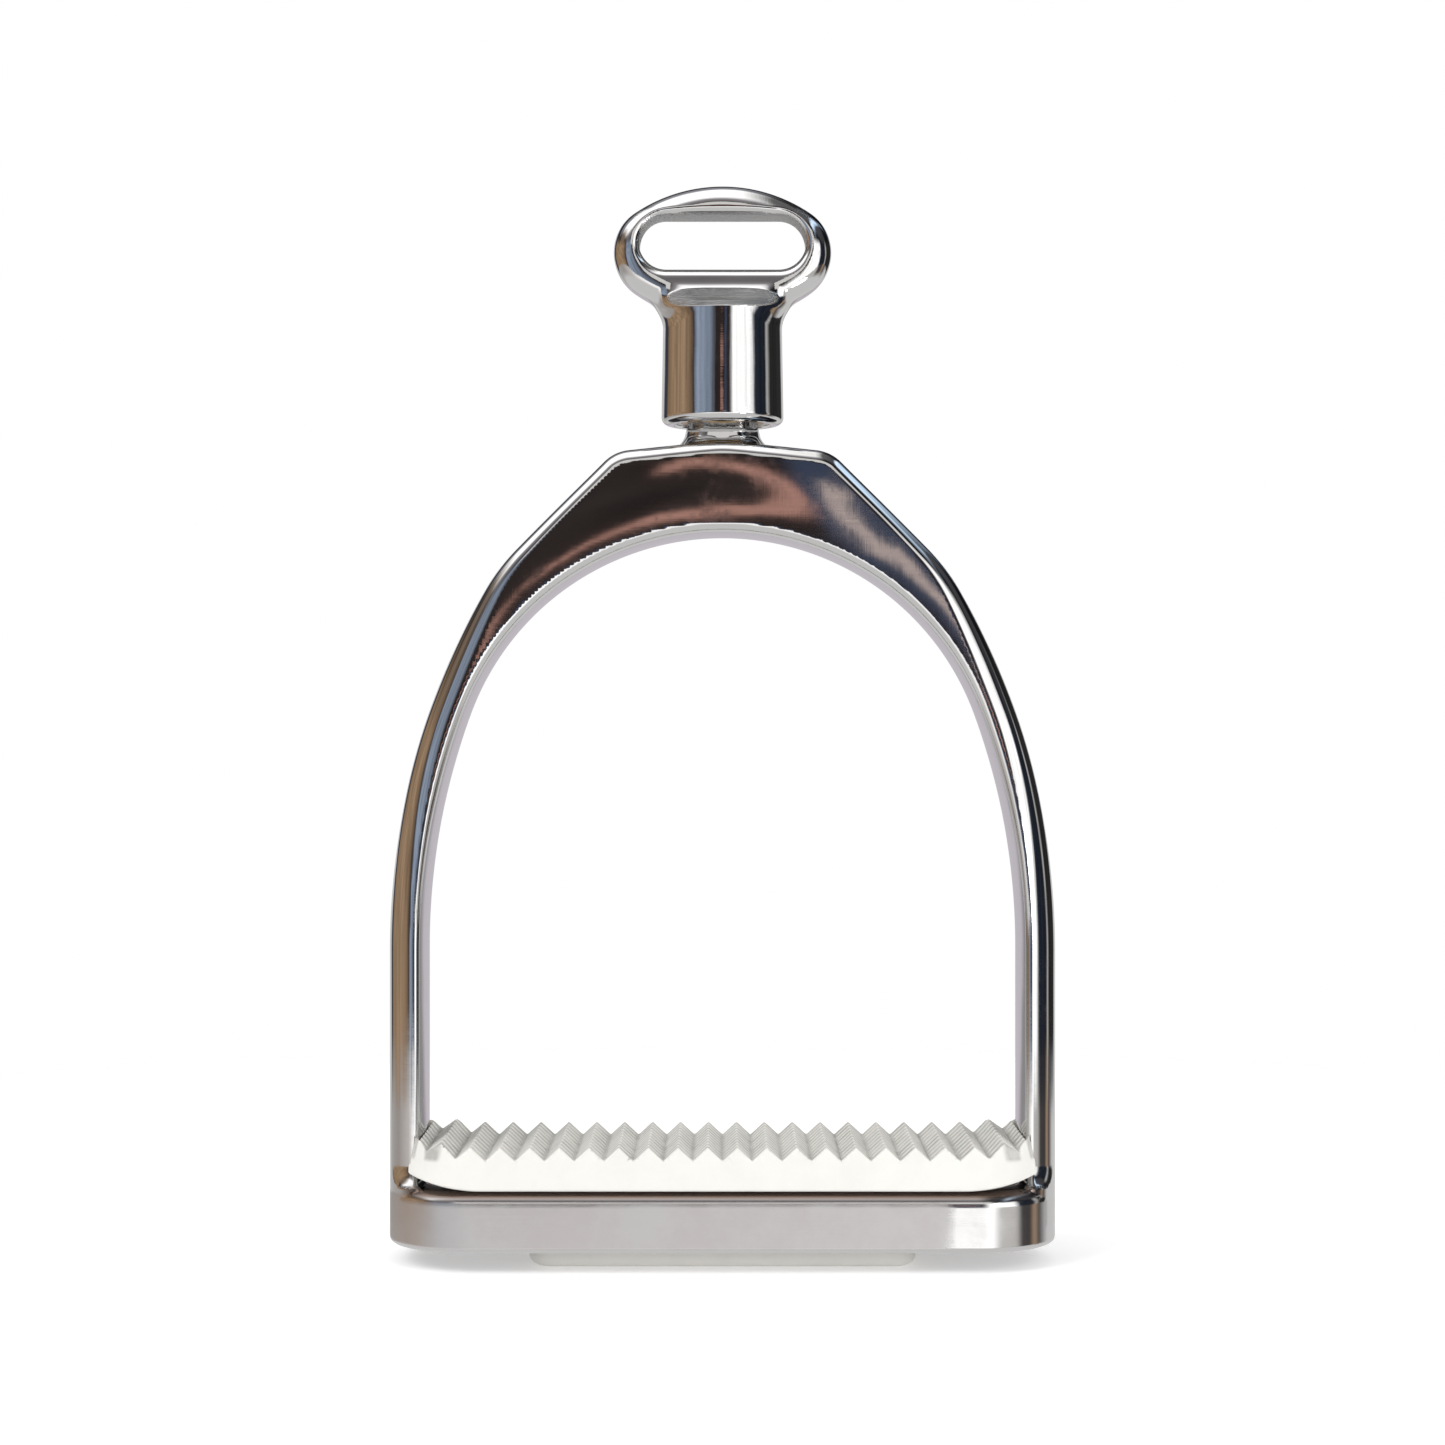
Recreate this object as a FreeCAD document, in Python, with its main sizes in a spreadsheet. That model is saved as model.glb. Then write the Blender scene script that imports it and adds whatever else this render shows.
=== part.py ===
"""Swivel-eye stirrup iron, 12 cm inside width, as separate pieces in one frame.

Frame: millimetres, +Z up, X across the foot opening, Y front to back.
The origin is the centre of the rubber plug's underside, which the iron stands on.
"""
import FreeCAD, Part
import math
import os

import Sketcher

V = FreeCAD.Vector
GROUND = -2          # the sketch's own vertical axis, in Sketcher's numbering
START, END, CENTRE = 1, 2, 3

# alias: (value in mm, or degrees for an angle; what it is)
SIZES = {
    # bow: the arched part with the two arms
    "inside_width": (120.4, "clear width between the arms"),
    "arch_apex": (145.7, "height of the top of the foot opening"),
    "arch_spring": (62.0, "height where the arms start to lean in"),
    "arch_crown_radius": (55.0, "radius of the top of the foot opening"),
    "arm_thickness": (6.4, "arm, across the iron"),
    "bow_depth": (24.0, "arm and crown, front to back"),
    "back_radius": (143.0, "radius of the outer side of the arms"),
    "haunch_radius": (42.0, "blend from arm to sloping shoulder"),
    "shoulder_slope": (45.0, "angle of the sloping shoulder"),
    "shoulder_half": (21.6, "half width where the shoulder lines meet"),
    "shoulder_height": (161.6, "height where the shoulder lines meet"),
    "shoulder_radius": (8.0, "rounding of that corner"),
    "crown_slope": (6.0, "angle of the crown's top"),
    "outer_round": (4.8, "rounding of the bow's outer edges"),
    "inner_round": (0.6, "rounding of the bow's inner edges"),
    "arm_root": (10.0, "height at which the arms end inside the ring"),
    # ring: the oval tray under the foot
    "ring_length": (133.5, "ring, across the iron"),
    "ring_depth": (38.0, "ring, front to back"),
    "ring_corner": (17.0, "plan corner radius of the ring"),
    "ring_base": (4.0, "height of the ring's underside"),
    "ring_height": (12.0, "ring, bottom to top"),
    "ring_top_round": (2.0, "rounding of the ring's top edge"),
    "ring_low_round": (1.0, "rounding of the ring's bottom edge"),
    "tray_length": (118.4, "recess in the ring, across the iron"),
    "tray_width": (30.0, "recess in the ring, front to back"),
    "tray_corner": (13.0, "plan corner radius of the recess"),
    "tray_floor": (4.0, "thickness of the recess's floor"),
    # stud on top of the crown
    "neck_radius": (7.2, "neck between crown and barrel"),
    "neck_flare": (3.4, "fillet at the foot of the neck"),
    "neck_foot": (162.6, "height of the fillet's foot, in the crown's top"),
    "neck_root": (154.0, "height at which the neck starts inside the crown"),
    "stud_shoulder": (174.2, "height where the neck steps down to the stud"),
    "stud_radius": (5.0, "stud that carries the nut"),
    "stud_top": (184.2, "height of the stud's end"),
    "stud_chamfer": (0.8, "chamfer of the stud's end"),
    # eye: loop for the leather, and the barrel that turns on the stud
    "loop_half": (21.9, "half width of the loop"),
    "loop_top": (215.7, "height of the loop's top"),
    "loop_centre": (202.4, "height of the loop's middle"),
    "loop_end_radius": (9.5, "radius of the loop's ends"),
    "loop_depth": (11.0, "loop, front to back"),
    "loop_round": (4.4, "rounding of the loop's outer edges"),
    "slot_width": (33.5, "slot, across the iron"),
    "slot_height": (11.0, "slot, bottom to top"),
    "slot_centre": (204.0, "height of the slot's middle"),
    "slot_round": (1.6, "rounding of the slot's rims"),
    "barrel_base": (167.7, "height of the barrel's mouth"),
    "barrel_top": (191.0, "height where the barrel's side ends"),
    "barrel_low_radius": (12.3, "barrel radius at the mouth"),
    "barrel_high_radius": (11.9, "barrel radius at the top"),
    "barrel_round": (1.6, "rounding of the mouth's outer edge"),
    "saddle_radius": (6.2, "radius of the barrel's shoulder under the loop"),
    "saddle_height": (195.6, "height of the barrel's shoulder under the loop"),
    "saddle_hollow": (6.0, "radius of the hollow between barrel and loop"),
    "bore_radius": (9.5, "blind bore in the barrel"),
    "bore_top": (188.5, "height of the bore's end"),
    # bearing pieces inside the barrel
    "collar_base": (168.2, "height of the retaining collar's underside"),
    "collar_height": (5.0, "retaining collar"),
    "collar_bore": (8.4, "radius of the collar's hole"),
    "bush_clearance": (0.05, "radial gap between bush and neck"),
    "flange_radius": (9.2, "radius of the bush's flange"),
    "flange_height": (0.95, "thickness of the bush's flange"),
    "washer_radius": (9.0, "outside of the thrust washer"),
    "washer_height": (1.5, "thrust washer"),
    "nut_flats": (14.0, "nut, across flats"),
    "nut_height": (7.0, "nut"),
    "pin_radius": (1.25, "cross pin through nut and stud"),
    "pin_length": (13.4, "cross pin"),
    "disc_radius": (9.2, "thrust disc at the bore's end"),
    "disc_gap": (0.3, "gap between the stud's end and the disc"),
    # rubber tread
    "pad_length": (130.0, "tread pad, across the iron"),
    "pad_depth": (37.0, "tread pad, front to back"),
    "pad_corner": (13.0, "plan corner radius of the pad"),
    "pad_base": (16.1, "height of the pad's underside"),
    "pad_thickness": (6.0, "pad, from its underside to the foot of the ridges"),
    "pad_notch_gap": (0.4, "gap between the pad and each arm"),
    "ridge_height": (2.7, "ridges of the tread"),
    "ridge_pitch": (5.8, "distance from ridge to ridge"),
    "ridge_count": (22, "ridges across the tread"),
    "plug_length": (77.0, "plug under the pad, across the iron"),
    "plug_width": (24.0, "plug, front to back"),
    "plug_corner": (5.0, "plan corner radius of the plug"),
    "plug_round": (2.0, "rounding of the plug's lower edge"),
}

doc = FreeCAD.newDocument("stirrup_iron")
sheet = doc.addObject("Spreadsheet::Sheet", "sizes")
for row, (alias, (value, meaning)) in enumerate(SIZES.items(), start=1):
    sheet.set(f"A{row}", str(value))
    sheet.setAlias(f"A{row}", alias)
    sheet.set(f"B{row}", meaning)
doc.recompute()


def size(expression):
    """The value of an expression of sheet aliases, as a plain number."""
    return float(sheet.evalExpression(expression))


def bound(expression):
    """The same expression with each alias written as sizes.alias, for setExpression."""
    words = sorted(SIZES, key=len, reverse=True)
    out = expression
    for number, word in enumerate(words):
        out = out.replace(word, f"<{number}>")
    for number, word in enumerate(words):
        out = out.replace(f"<{number}>", f"sizes.{word}")
    return out


def bind(thing, prop, expression):
    """Bind one property of a document object to the sheet."""
    thing.setExpression(prop, bound(expression))


# ---------------------------------------------------------------- PartDesign helpers
def new_body(label):
    body = doc.addObject("PartDesign::Body", label)
    body.Label = label
    return body


def origin_plane(body, role):
    return next(f for f in body.Origin.OriginFeatures if f.Role == role)


def new_sketch(body, name, role, height=None):
    """A sketch on one of the body's origin planes, raised by height along its normal."""
    sketch = body.newObject("Sketcher::SketchObject", name)
    sketch.AttachmentSupport = (origin_plane(body, role), [""])
    sketch.MapMode = "FlatFace"
    if height is not None:
        bind(sketch, "AttachmentOffset.Base.z", height)
    return sketch


def line(a, b):
    return Part.LineSegment(V(a[0], a[1], 0), V(b[0], b[1], 0))


def arc(centre, radius, a, b):
    """The arc from a to b about centre; Sketcher keeps arcs anticlockwise."""
    angles = [math.atan2(p[1] - centre[1], p[0] - centre[0]) for p in (a, b)]
    circle = Part.Circle(V(centre[0], centre[1], 0), V(0, 0, 1), radius)
    return Part.ArcOfCircle(circle, angles[0], angles[1])


def dimension(sketch, kind, refs, name, expression):
    """A named dimension that follows the sheet; angles are in degrees there."""
    value = math.radians(size(expression)) if kind == "Angle" else size(expression)
    index = sketch.addConstraint(Sketcher.Constraint(kind, *refs, value))
    sketch.renameConstraint(index, name)
    sketch.setExpression(f"Constraints.{name}", bound(expression))


def join(sketch, pairs, kind="Coincident"):
    for first, first_end, second, second_end in pairs:
        sketch.addConstraint(Sketcher.Constraint(kind, first, first_end, second, second_end))


def rounded_rectangle(sketch, length, width, corner, tag):
    """A rounded rectangle about the sketch's origin: four lines and four tangent arcs."""
    half_x = size(length) / 2
    half_y = size(width) / 2
    r = size(corner)
    first = sketch.GeometryCount
    sides = [
        ((half_x - r, half_y), (-half_x + r, half_y)),
        ((-half_x, half_y - r), (-half_x, -half_y + r)),
        ((-half_x + r, -half_y), (half_x - r, -half_y)),
        ((half_x, -half_y + r), (half_x, half_y - r)),
    ]
    centres = [(-1, 1), (-1, -1), (1, -1), (1, 1)]
    for index, (a, b) in enumerate(sides):
        centre = (centres[index][0] * (half_x - r), centres[index][1] * (half_y - r))
        sketch.addGeometry(line(a, b), False)
        sketch.addGeometry(arc(centre, r, b, sides[(index + 1) % 4][0]), False)
    top, left, bottom, right = (first + 2 * i for i in range(4))
    for index in range(4):
        side = first + 2 * index
        bend = side + 1
        after = first + 2 * ((index + 1) % 4)
        join(sketch, [(side, END, bend, START), (bend, END, after, START)], "Tangent")
    for bend in (left + 1, bottom + 1, right + 1):
        sketch.addConstraint(Sketcher.Constraint("Equal", top + 1, bend))
    sketch.addConstraint(Sketcher.Constraint("Horizontal", bottom))
    sketch.addConstraint(Sketcher.Constraint("Vertical", right))
    sketch.addConstraint(Sketcher.Constraint("Symmetric", top, START, top, END, GROUND))
    sketch.addConstraint(Sketcher.Constraint("Symmetric", left, START, left, END, -1))
    dimension(sketch, "Radius", [top + 1], f"{tag}_corner", corner)
    dimension(sketch, "DistanceX", [left, END, right, START], f"{tag}_length", length)
    dimension(sketch, "DistanceY", [bottom, START, top, END], f"{tag}_width", width)


def pad(body, name, sketch, length, symmetric=False):
    feature = body.newObject("PartDesign::Pad", name)
    feature.Profile = sketch
    bind(feature, "Length", length)
    feature.Midplane = symmetric
    doc.recompute()
    return feature


def pocket(body, name, sketch, depth, reverse=False, symmetric=False):
    """Cut along the sketch's normal and make sure that something was cut."""
    before = body.Shape.Volume
    feature = body.newObject("PartDesign::Pocket", name)
    feature.Profile = sketch
    bind(feature, "Length", depth)
    feature.Reversed = reverse
    feature.Midplane = symmetric
    doc.recompute()
    if body.Shape.Volume > before - 1e-3:
        raise RuntimeError(f"{name} cuts nothing")
    return feature


def mirror(body, name, original):
    """Mirror a feature about the YZ plane."""
    feature = body.newObject("PartDesign::Mirrored", name)
    feature.Originals = [original]
    feature.MirrorPlane = (origin_plane(body, "YZ_Plane"), [""])
    body.Tip = feature
    doc.recompute()
    return feature


def fillet(body, name, radius, wanted):
    """Round the edges of the body's tip for which wanted(edge) holds."""
    base = body.Tip
    names = [f"Edge{i}" for i, edge in enumerate(base.Shape.Edges, start=1) if wanted(edge)]
    feature = body.newObject("PartDesign::Fillet", name)
    feature.Base = (base, names)
    bind(feature, "Radius", radius)
    doc.recompute()
    return feature


def revolve(body, name, sketch):
    """A full turn about the sketch's vertical axis, which is the Z axis."""
    feature = body.newObject("PartDesign::Revolution", name)
    feature.Profile = sketch
    feature.ReferenceAxis = (sketch, ["V_Axis"])
    feature.Angle = 360
    doc.recompute()
    return feature


def hollow_arc(start, end, radius):
    """The arc from end to start whose centre lies on the right of the way from start to end."""
    chord = math.dist(start, end)
    along = ((end[0] - start[0]) / chord, (end[1] - start[1]) / chord)
    offset = math.sqrt(radius ** 2 - (chord / 2) ** 2)
    centre = (
        (start[0] + end[0]) / 2 + along[1] * offset,
        (start[1] + end[1]) / 2 - along[0] * offset,
    )
    return arc(centre, radius, end, start)


def turned_outline(sketch, corners, tag, hollows=None):
    """A closed outline in the XZ plane, to be turned about the Z axis.

    corners: (radius, height) points as expressions, anticlockwise, each dimensioned.
    tag: a word that makes the constraint names of this outline unique.
    hollows: {index: radius} makes the run that leaves that corner a hollow arc.
    """
    hollows = hollows or {}
    points = [(size(x), size(y)) for x, y in corners]
    count = len(points)
    starts = [END if index in hollows else START for index in range(count)]
    ends = [START if index in hollows else END for index in range(count)]
    for index in range(count):
        here = points[index]
        there = points[(index + 1) % count]
        if index in hollows:
            sketch.addGeometry(hollow_arc(here, there, size(hollows[index])), False)
            dimension(sketch, "Radius", [index], f"{tag}_hollow{index}", hollows[index])
        else:
            sketch.addGeometry(line(here, there), False)
    for index in range(count):
        after = (index + 1) % count
        join(sketch, [(index, ends[index], after, starts[after])])
    for index, (x, y) in enumerate(corners):
        if size(x) == 0:
            on_axis = Sketcher.Constraint("PointOnObject", index, starts[index], GROUND)
            sketch.addConstraint(on_axis)
        else:
            dimension(
                sketch, "DistanceX", [-1, START, index, starts[index]], f"{tag}_x{index}", x)
        dimension(sketch, "DistanceY", [-1, START, index, starts[index]], f"{tag}_z{index}", y)
    doc.recompute()


def combine(kind, label, base, tool):
    """Part::Cut or Part::Fuse of two objects, labelled as the sub-part."""
    thing = doc.addObject(kind, label)
    thing.Base = base
    thing.Tool = tool
    thing.Label = label
    return thing


# ---------------------------------------------------------------- stirrup body
def arch_outline(sketch):
    """Right half of the bow in the XZ plane, from the foot opening's apex round to the axis."""
    inner = size("inside_width / 2")
    apex = size("arch_apex")
    spring = size("arch_spring")
    crown_r = size("arch_crown_radius")
    rise = apex - spring
    # radius of the arm's inner side: tangent to the crown arc and upright at the spring
    side_r = (inner ** 2 + rise ** 2 - 2 * rise * crown_r) / (2 * (inner - crown_r))
    crown_c = (0, apex - crown_r)
    side_c = (inner - side_r, spring)
    toward = math.atan2(crown_c[1] - side_c[1], crown_c[0] - side_c[0])
    meet = (side_c[0] + side_r * math.cos(toward), side_c[1] + side_r * math.sin(toward))
    outer = inner + size("arm_thickness")
    root = size("arm_root")
    back_r = size("back_radius")
    back_c = (outer - back_r, spring)
    haunch_r = size("haunch_radius")
    slope = math.radians(size("shoulder_slope"))
    rise_angle = math.radians(size("crown_slope"))
    corner = (size("shoulder_half"), size("shoulder_height"))
    # haunch: tangent to the back arc and to the sloping shoulder line
    normal = (math.sin(slope), math.cos(slope))
    reach = corner[0] * normal[0] + corner[1] * normal[1] - haunch_r
    across = back_c[0] * normal[0] + back_c[1] * normal[1]
    along = math.sqrt((back_r - haunch_r) ** 2 - (reach - across) ** 2)
    haunch_c = (
        back_c[0] + (reach - across) * normal[0] + along * normal[1],
        back_c[1] + (reach - across) * normal[1] - along * normal[0],
    )
    if haunch_c[0] < back_c[0]:
        raise RuntimeError("the haunch is on the wrong side")
    out = math.atan2(haunch_c[1] - back_c[1], haunch_c[0] - back_c[0])
    back_end = (back_c[0] + back_r * math.cos(out), back_c[1] + back_r * math.sin(out))
    haunch_end = (haunch_c[0] + haunch_r * normal[0], haunch_c[1] + haunch_r * normal[1])
    # rounded corner between the sloping shoulder and the crown's top
    round_r = size("shoulder_radius")
    trim = round_r * math.tan((slope - rise_angle) / 2)
    slope_end = (corner[0] + trim * math.cos(slope), corner[1] - trim * math.sin(slope))
    round_c = (slope_end[0] - round_r * normal[0], slope_end[1] - round_r * normal[1])
    top_start = (corner[0] - trim * math.cos(rise_angle), corner[1] + trim * math.sin(rise_angle))
    top_end = (0, corner[1] + corner[0] * math.tan(rise_angle))

    sketch.addGeometry(arc(crown_c, crown_r, meet, (0, apex)), False)
    sketch.addGeometry(arc(side_c, side_r, (inner, spring), meet), False)
    sketch.addGeometry(line((inner, spring), (inner, root)), False)
    sketch.addGeometry(line((inner, root), (outer, root)), False)
    sketch.addGeometry(line((outer, root), (outer, spring)), False)
    sketch.addGeometry(arc(back_c, back_r, (outer, spring), back_end), False)
    sketch.addGeometry(arc(haunch_c, haunch_r, back_end, haunch_end), False)
    sketch.addGeometry(line(haunch_end, slope_end), False)
    sketch.addGeometry(arc(round_c, round_r, slope_end, top_start), False)
    sketch.addGeometry(line(top_start, top_end), False)
    sketch.addGeometry(line(top_end, (0, apex)), False)
    sketch.addGeometry(Part.Point(FreeCAD.Vector(*corner, 0)), True)
    crown, side, inner_arm, foot, outer_arm, back, haunch, shoulder, rounding, top, axis = range(11)
    sharp_corner = 11
    join(sketch, [(side, END, crown, START), (inner_arm, START, side, START)], "Tangent")
    join(sketch, [(inner_arm, END, foot, START), (foot, END, outer_arm, START)])
    join(sketch, [(outer_arm, END, back, START), (back, END, haunch, START)], "Tangent")
    join(sketch, [(haunch, END, shoulder, START), (shoulder, END, rounding, START)], "Tangent")
    join(sketch, [(rounding, END, top, START)], "Tangent")
    join(sketch, [(top, END, axis, START), (axis, END, crown, END)])
    for upright in (inner_arm, outer_arm, axis):
        sketch.addConstraint(Sketcher.Constraint("Vertical", upright))
    sketch.addConstraint(Sketcher.Constraint("Horizontal", foot))
    sketch.addConstraint(Sketcher.Constraint("PointOnObject", crown, CENTRE, GROUND))
    sketch.addConstraint(Sketcher.Constraint("PointOnObject", axis, START, GROUND))
    dimension(sketch, "DistanceX", [-1, START, inner_arm, START], "half_inside", "inside_width / 2")
    dimension(sketch, "DistanceX", [foot, START, foot, END], "arm", "arm_thickness")
    dimension(sketch, "DistanceY", [-1, START, inner_arm, END], "root", "arm_root")
    dimension(sketch, "DistanceY", [-1, START, inner_arm, START], "spring", "arch_spring")
    dimension(sketch, "DistanceY", [-1, START, outer_arm, END], "spring_outside", "arch_spring")
    dimension(sketch, "DistanceY", [-1, START, axis, END], "apex", "arch_apex")
    dimension(sketch, "Radius", [crown], "crown_radius", "arch_crown_radius")
    dimension(sketch, "Radius", [back], "back", "back_radius")
    dimension(sketch, "Radius", [haunch], "haunch", "haunch_radius")
    dimension(sketch, "Radius", [rounding], "rounding", "shoulder_radius")
    # the sloping shoulder and the crown's top would meet at this corner if it were sharp
    for edge in (shoulder, top):
        sketch.addConstraint(Sketcher.Constraint("PointOnObject", sharp_corner, START, edge))
    dimension(sketch, "DistanceX", [-1, START, sharp_corner, START], "corner_x", "shoulder_half")
    dimension(sketch, "DistanceY", [-1, START, sharp_corner, START], "corner_z", "shoulder_height")
    dimension(sketch, "Angle", [shoulder], "slope", "180 - shoulder_slope")
    dimension(sketch, "Angle", [top], "crown_rise", "180 - crown_slope")


def on_bow_outside(edge):
    """Front and back edges along the outer side of the bow, from the arm's root to the crown."""
    if abs(abs(edge.BoundBox.YMin) - size("bow_depth / 2")) > 0.01 or edge.BoundBox.YLength > 0.01:
        return False
    middle = edge.valueAt((edge.FirstParameter + edge.LastParameter) / 2)
    if middle.z < size("arm_root") + 0.1:
        return False
    if middle.z < size("arch_spring"):
        return abs(middle.x) > size("inside_width / 2 + arm_thickness / 2")
    centre = size("arch_apex - arch_crown_radius")
    return math.hypot(middle.x, middle.z - centre) > size("arch_crown_radius") + 4.5


def on_bow_inside(edge):
    """Front and back edges along the foot opening."""
    if abs(abs(edge.BoundBox.YMin) - size("bow_depth / 2")) > 0.01 or edge.BoundBox.YLength > 0.01:
        return False
    middle = edge.valueAt((edge.FirstParameter + edge.LastParameter) / 2)
    return middle.z > size("arm_root") + 0.1 and not on_bow_outside(edge)


def level_edge(height):
    """Test for edges that lie level at a height."""
    level = size(height)
    return lambda edge: max(abs(edge.BoundBox.ZMin - level), abs(edge.BoundBox.ZMax - level)) < 0.01


def make_bow():
    """Arch, arms, neck and stud."""
    body = new_body("bow")
    bow_sketch = new_sketch(body, "bow_outline", "XZ_Plane")
    arch_outline(bow_sketch)
    doc.recompute()
    half = pad(body, "bow_half", bow_sketch, "bow_depth", symmetric=True)
    mirror(body, "bow_whole", half)
    fillet(body, "bow_outer_round", "outer_round", on_bow_outside)
    fillet(body, "bow_inner_round", "inner_round", on_bow_inside)
    neck_sketch = new_sketch(body, "neck_outline", "XZ_Plane")
    foot = "neck_radius + neck_flare"
    turned_outline(neck_sketch, [
        ("0", "neck_root"),
        (foot, "neck_root"),
        (foot, "neck_foot"),
        ("neck_radius", "neck_foot + neck_flare"),
        ("neck_radius", "stud_shoulder"),
        ("stud_radius", "stud_shoulder"),
        ("stud_radius", "stud_top - stud_chamfer"),
        ("stud_radius - stud_chamfer", "stud_top"),
        ("0", "stud_top"),
    ], "neck", hollows={2: "neck_flare"})
    revolve(body, "neck", neck_sketch)
    hole_sketch = new_sketch(body, "pin_hole_outline", "YZ_Plane")
    pin_hole_outline(hole_sketch)
    pocket(body, "pin_hole", hole_sketch, "4 * stud_radius", symmetric=True)
    return body


def make_ring():
    """The tray under the foot, with a slot in its floor for the plug."""
    body = new_body("ring")
    ring_sketch = new_sketch(body, "ring_outline", "XY_Plane", "ring_base")
    rounded_rectangle(ring_sketch, "ring_length", "ring_depth", "ring_corner", "ring")
    pad(body, "ring_block", ring_sketch, "ring_height")
    fillet(body, "ring_low_round", "ring_low_round", level_edge("ring_base"))
    fillet(body, "ring_top_round", "ring_top_round", level_edge("ring_base + ring_height"))
    tray_sketch = new_sketch(body, "tray_outline", "XY_Plane", "ring_base + ring_height")
    rounded_rectangle(tray_sketch, "tray_length", "tray_width", "tray_corner", "tray")
    pocket(body, "tray", tray_sketch, "ring_height - tray_floor")
    slot_sketch = new_sketch(body, "plug_slot_outline", "XY_Plane", "ring_base + tray_floor")
    rounded_rectangle(slot_sketch, "plug_length", "plug_width", "plug_corner", "slot")
    pocket(body, "plug_slot", slot_sketch, "tray_floor")
    return body


def make_stirrup_body():
    """Bow and ring are one casting."""
    return combine("Part::Fuse", "stirrup_body", make_bow(), make_ring())


def pin_hole_outline(sketch):
    """Circle of the cross pin, half way up the nut."""
    height = "stud_shoulder + washer_height + nut_height / 2"
    sketch.addGeometry(Part.Circle(V(0, size(height), 0), V(0, 0, 1), size("pin_radius")), False)
    sketch.addConstraint(Sketcher.Constraint("PointOnObject", 0, CENTRE, GROUND))
    dimension(sketch, "Radius", [0], "pin", "pin_radius")
    dimension(sketch, "DistanceY", [-1, START, 0, CENTRE], "pin_height", height)
    doc.recompute()


# ---------------------------------------------------------------- eye
def oval_outline(sketch):
    """Four tangent arcs: two ends, and a flatter arc above and below."""
    middle = size("loop_centre")
    half_height = "(loop_top - loop_centre)"
    end_offset = "(loop_half - loop_end_radius)"
    flat = (
        f"({end_offset}^2 + {half_height}^2 - loop_end_radius^2)"
        f" / (2 * ({half_height} - loop_end_radius))"
    )
    end_x = size(end_offset)
    end_r = size("loop_end_radius")
    flat_r = size(flat)
    rise = size(half_height)
    top_c = (0, middle + rise - flat_r)
    low_c = (0, middle - rise + flat_r)
    lean = math.atan2(middle - top_c[1], end_x)
    meet_x = end_x + end_r * math.cos(lean)
    meet_z = end_r * math.sin(lean)
    upper = middle + meet_z
    lower = middle - meet_z
    sketch.addGeometry(arc((end_x, middle), end_r, (meet_x, lower), (meet_x, upper)), False)
    sketch.addGeometry(arc(top_c, flat_r, (meet_x, upper), (-meet_x, upper)), False)
    sketch.addGeometry(arc((-end_x, middle), end_r, (-meet_x, upper), (-meet_x, lower)), False)
    sketch.addGeometry(arc(low_c, flat_r, (-meet_x, lower), (meet_x, lower)), False)
    right, top, left, low = range(4)
    join(sketch, [(right, END, top, START), (top, END, left, START)], "Tangent")
    join(sketch, [(left, END, low, START), (low, END, right, START)], "Tangent")
    sketch.addConstraint(Sketcher.Constraint("Equal", right, left))
    sketch.addConstraint(Sketcher.Constraint("Equal", top, low))
    sketch.addConstraint(Sketcher.Constraint("Symmetric", left, CENTRE, right, CENTRE, GROUND))
    dimension(sketch, "Radius", [right], "end", "loop_end_radius")
    dimension(sketch, "Radius", [top], "flat", flat)
    dimension(sketch, "DistanceX", [-1, START, right, CENTRE], "end_offset", end_offset)
    dimension(sketch, "DistanceY", [-1, START, right, CENTRE], "middle", "loop_centre")
    doc.recompute()


def stadium_outline(sketch):
    """The leather slot: two straight sides with half-round ends."""
    half_run = size("(slot_width - slot_height) / 2")
    r = size("slot_height / 2")
    middle = size("slot_centre")
    sketch.addGeometry(line((half_run, middle + r), (-half_run, middle + r)), False)
    sketch.addGeometry(
        arc((-half_run, middle), r, (-half_run, middle + r), (-half_run, middle - r)), False)
    sketch.addGeometry(line((-half_run, middle - r), (half_run, middle - r)), False)
    sketch.addGeometry(
        arc((half_run, middle), r, (half_run, middle - r), (half_run, middle + r)), False)
    top, left, low, right = range(4)
    join(sketch, [(top, END, left, START), (left, END, low, START)], "Tangent")
    join(sketch, [(low, END, right, START), (right, END, top, START)], "Tangent")
    sketch.addConstraint(Sketcher.Constraint("Symmetric", left, CENTRE, right, CENTRE, GROUND))
    dimension(sketch, "Radius", [right], "end", "slot_height / 2")
    dimension(sketch, "DistanceX", [left, CENTRE, right, CENTRE], "run", "slot_width - slot_height")
    dimension(sketch, "DistanceY", [-1, START, right, CENTRE], "middle", "slot_centre")
    doc.recompute()


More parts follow.
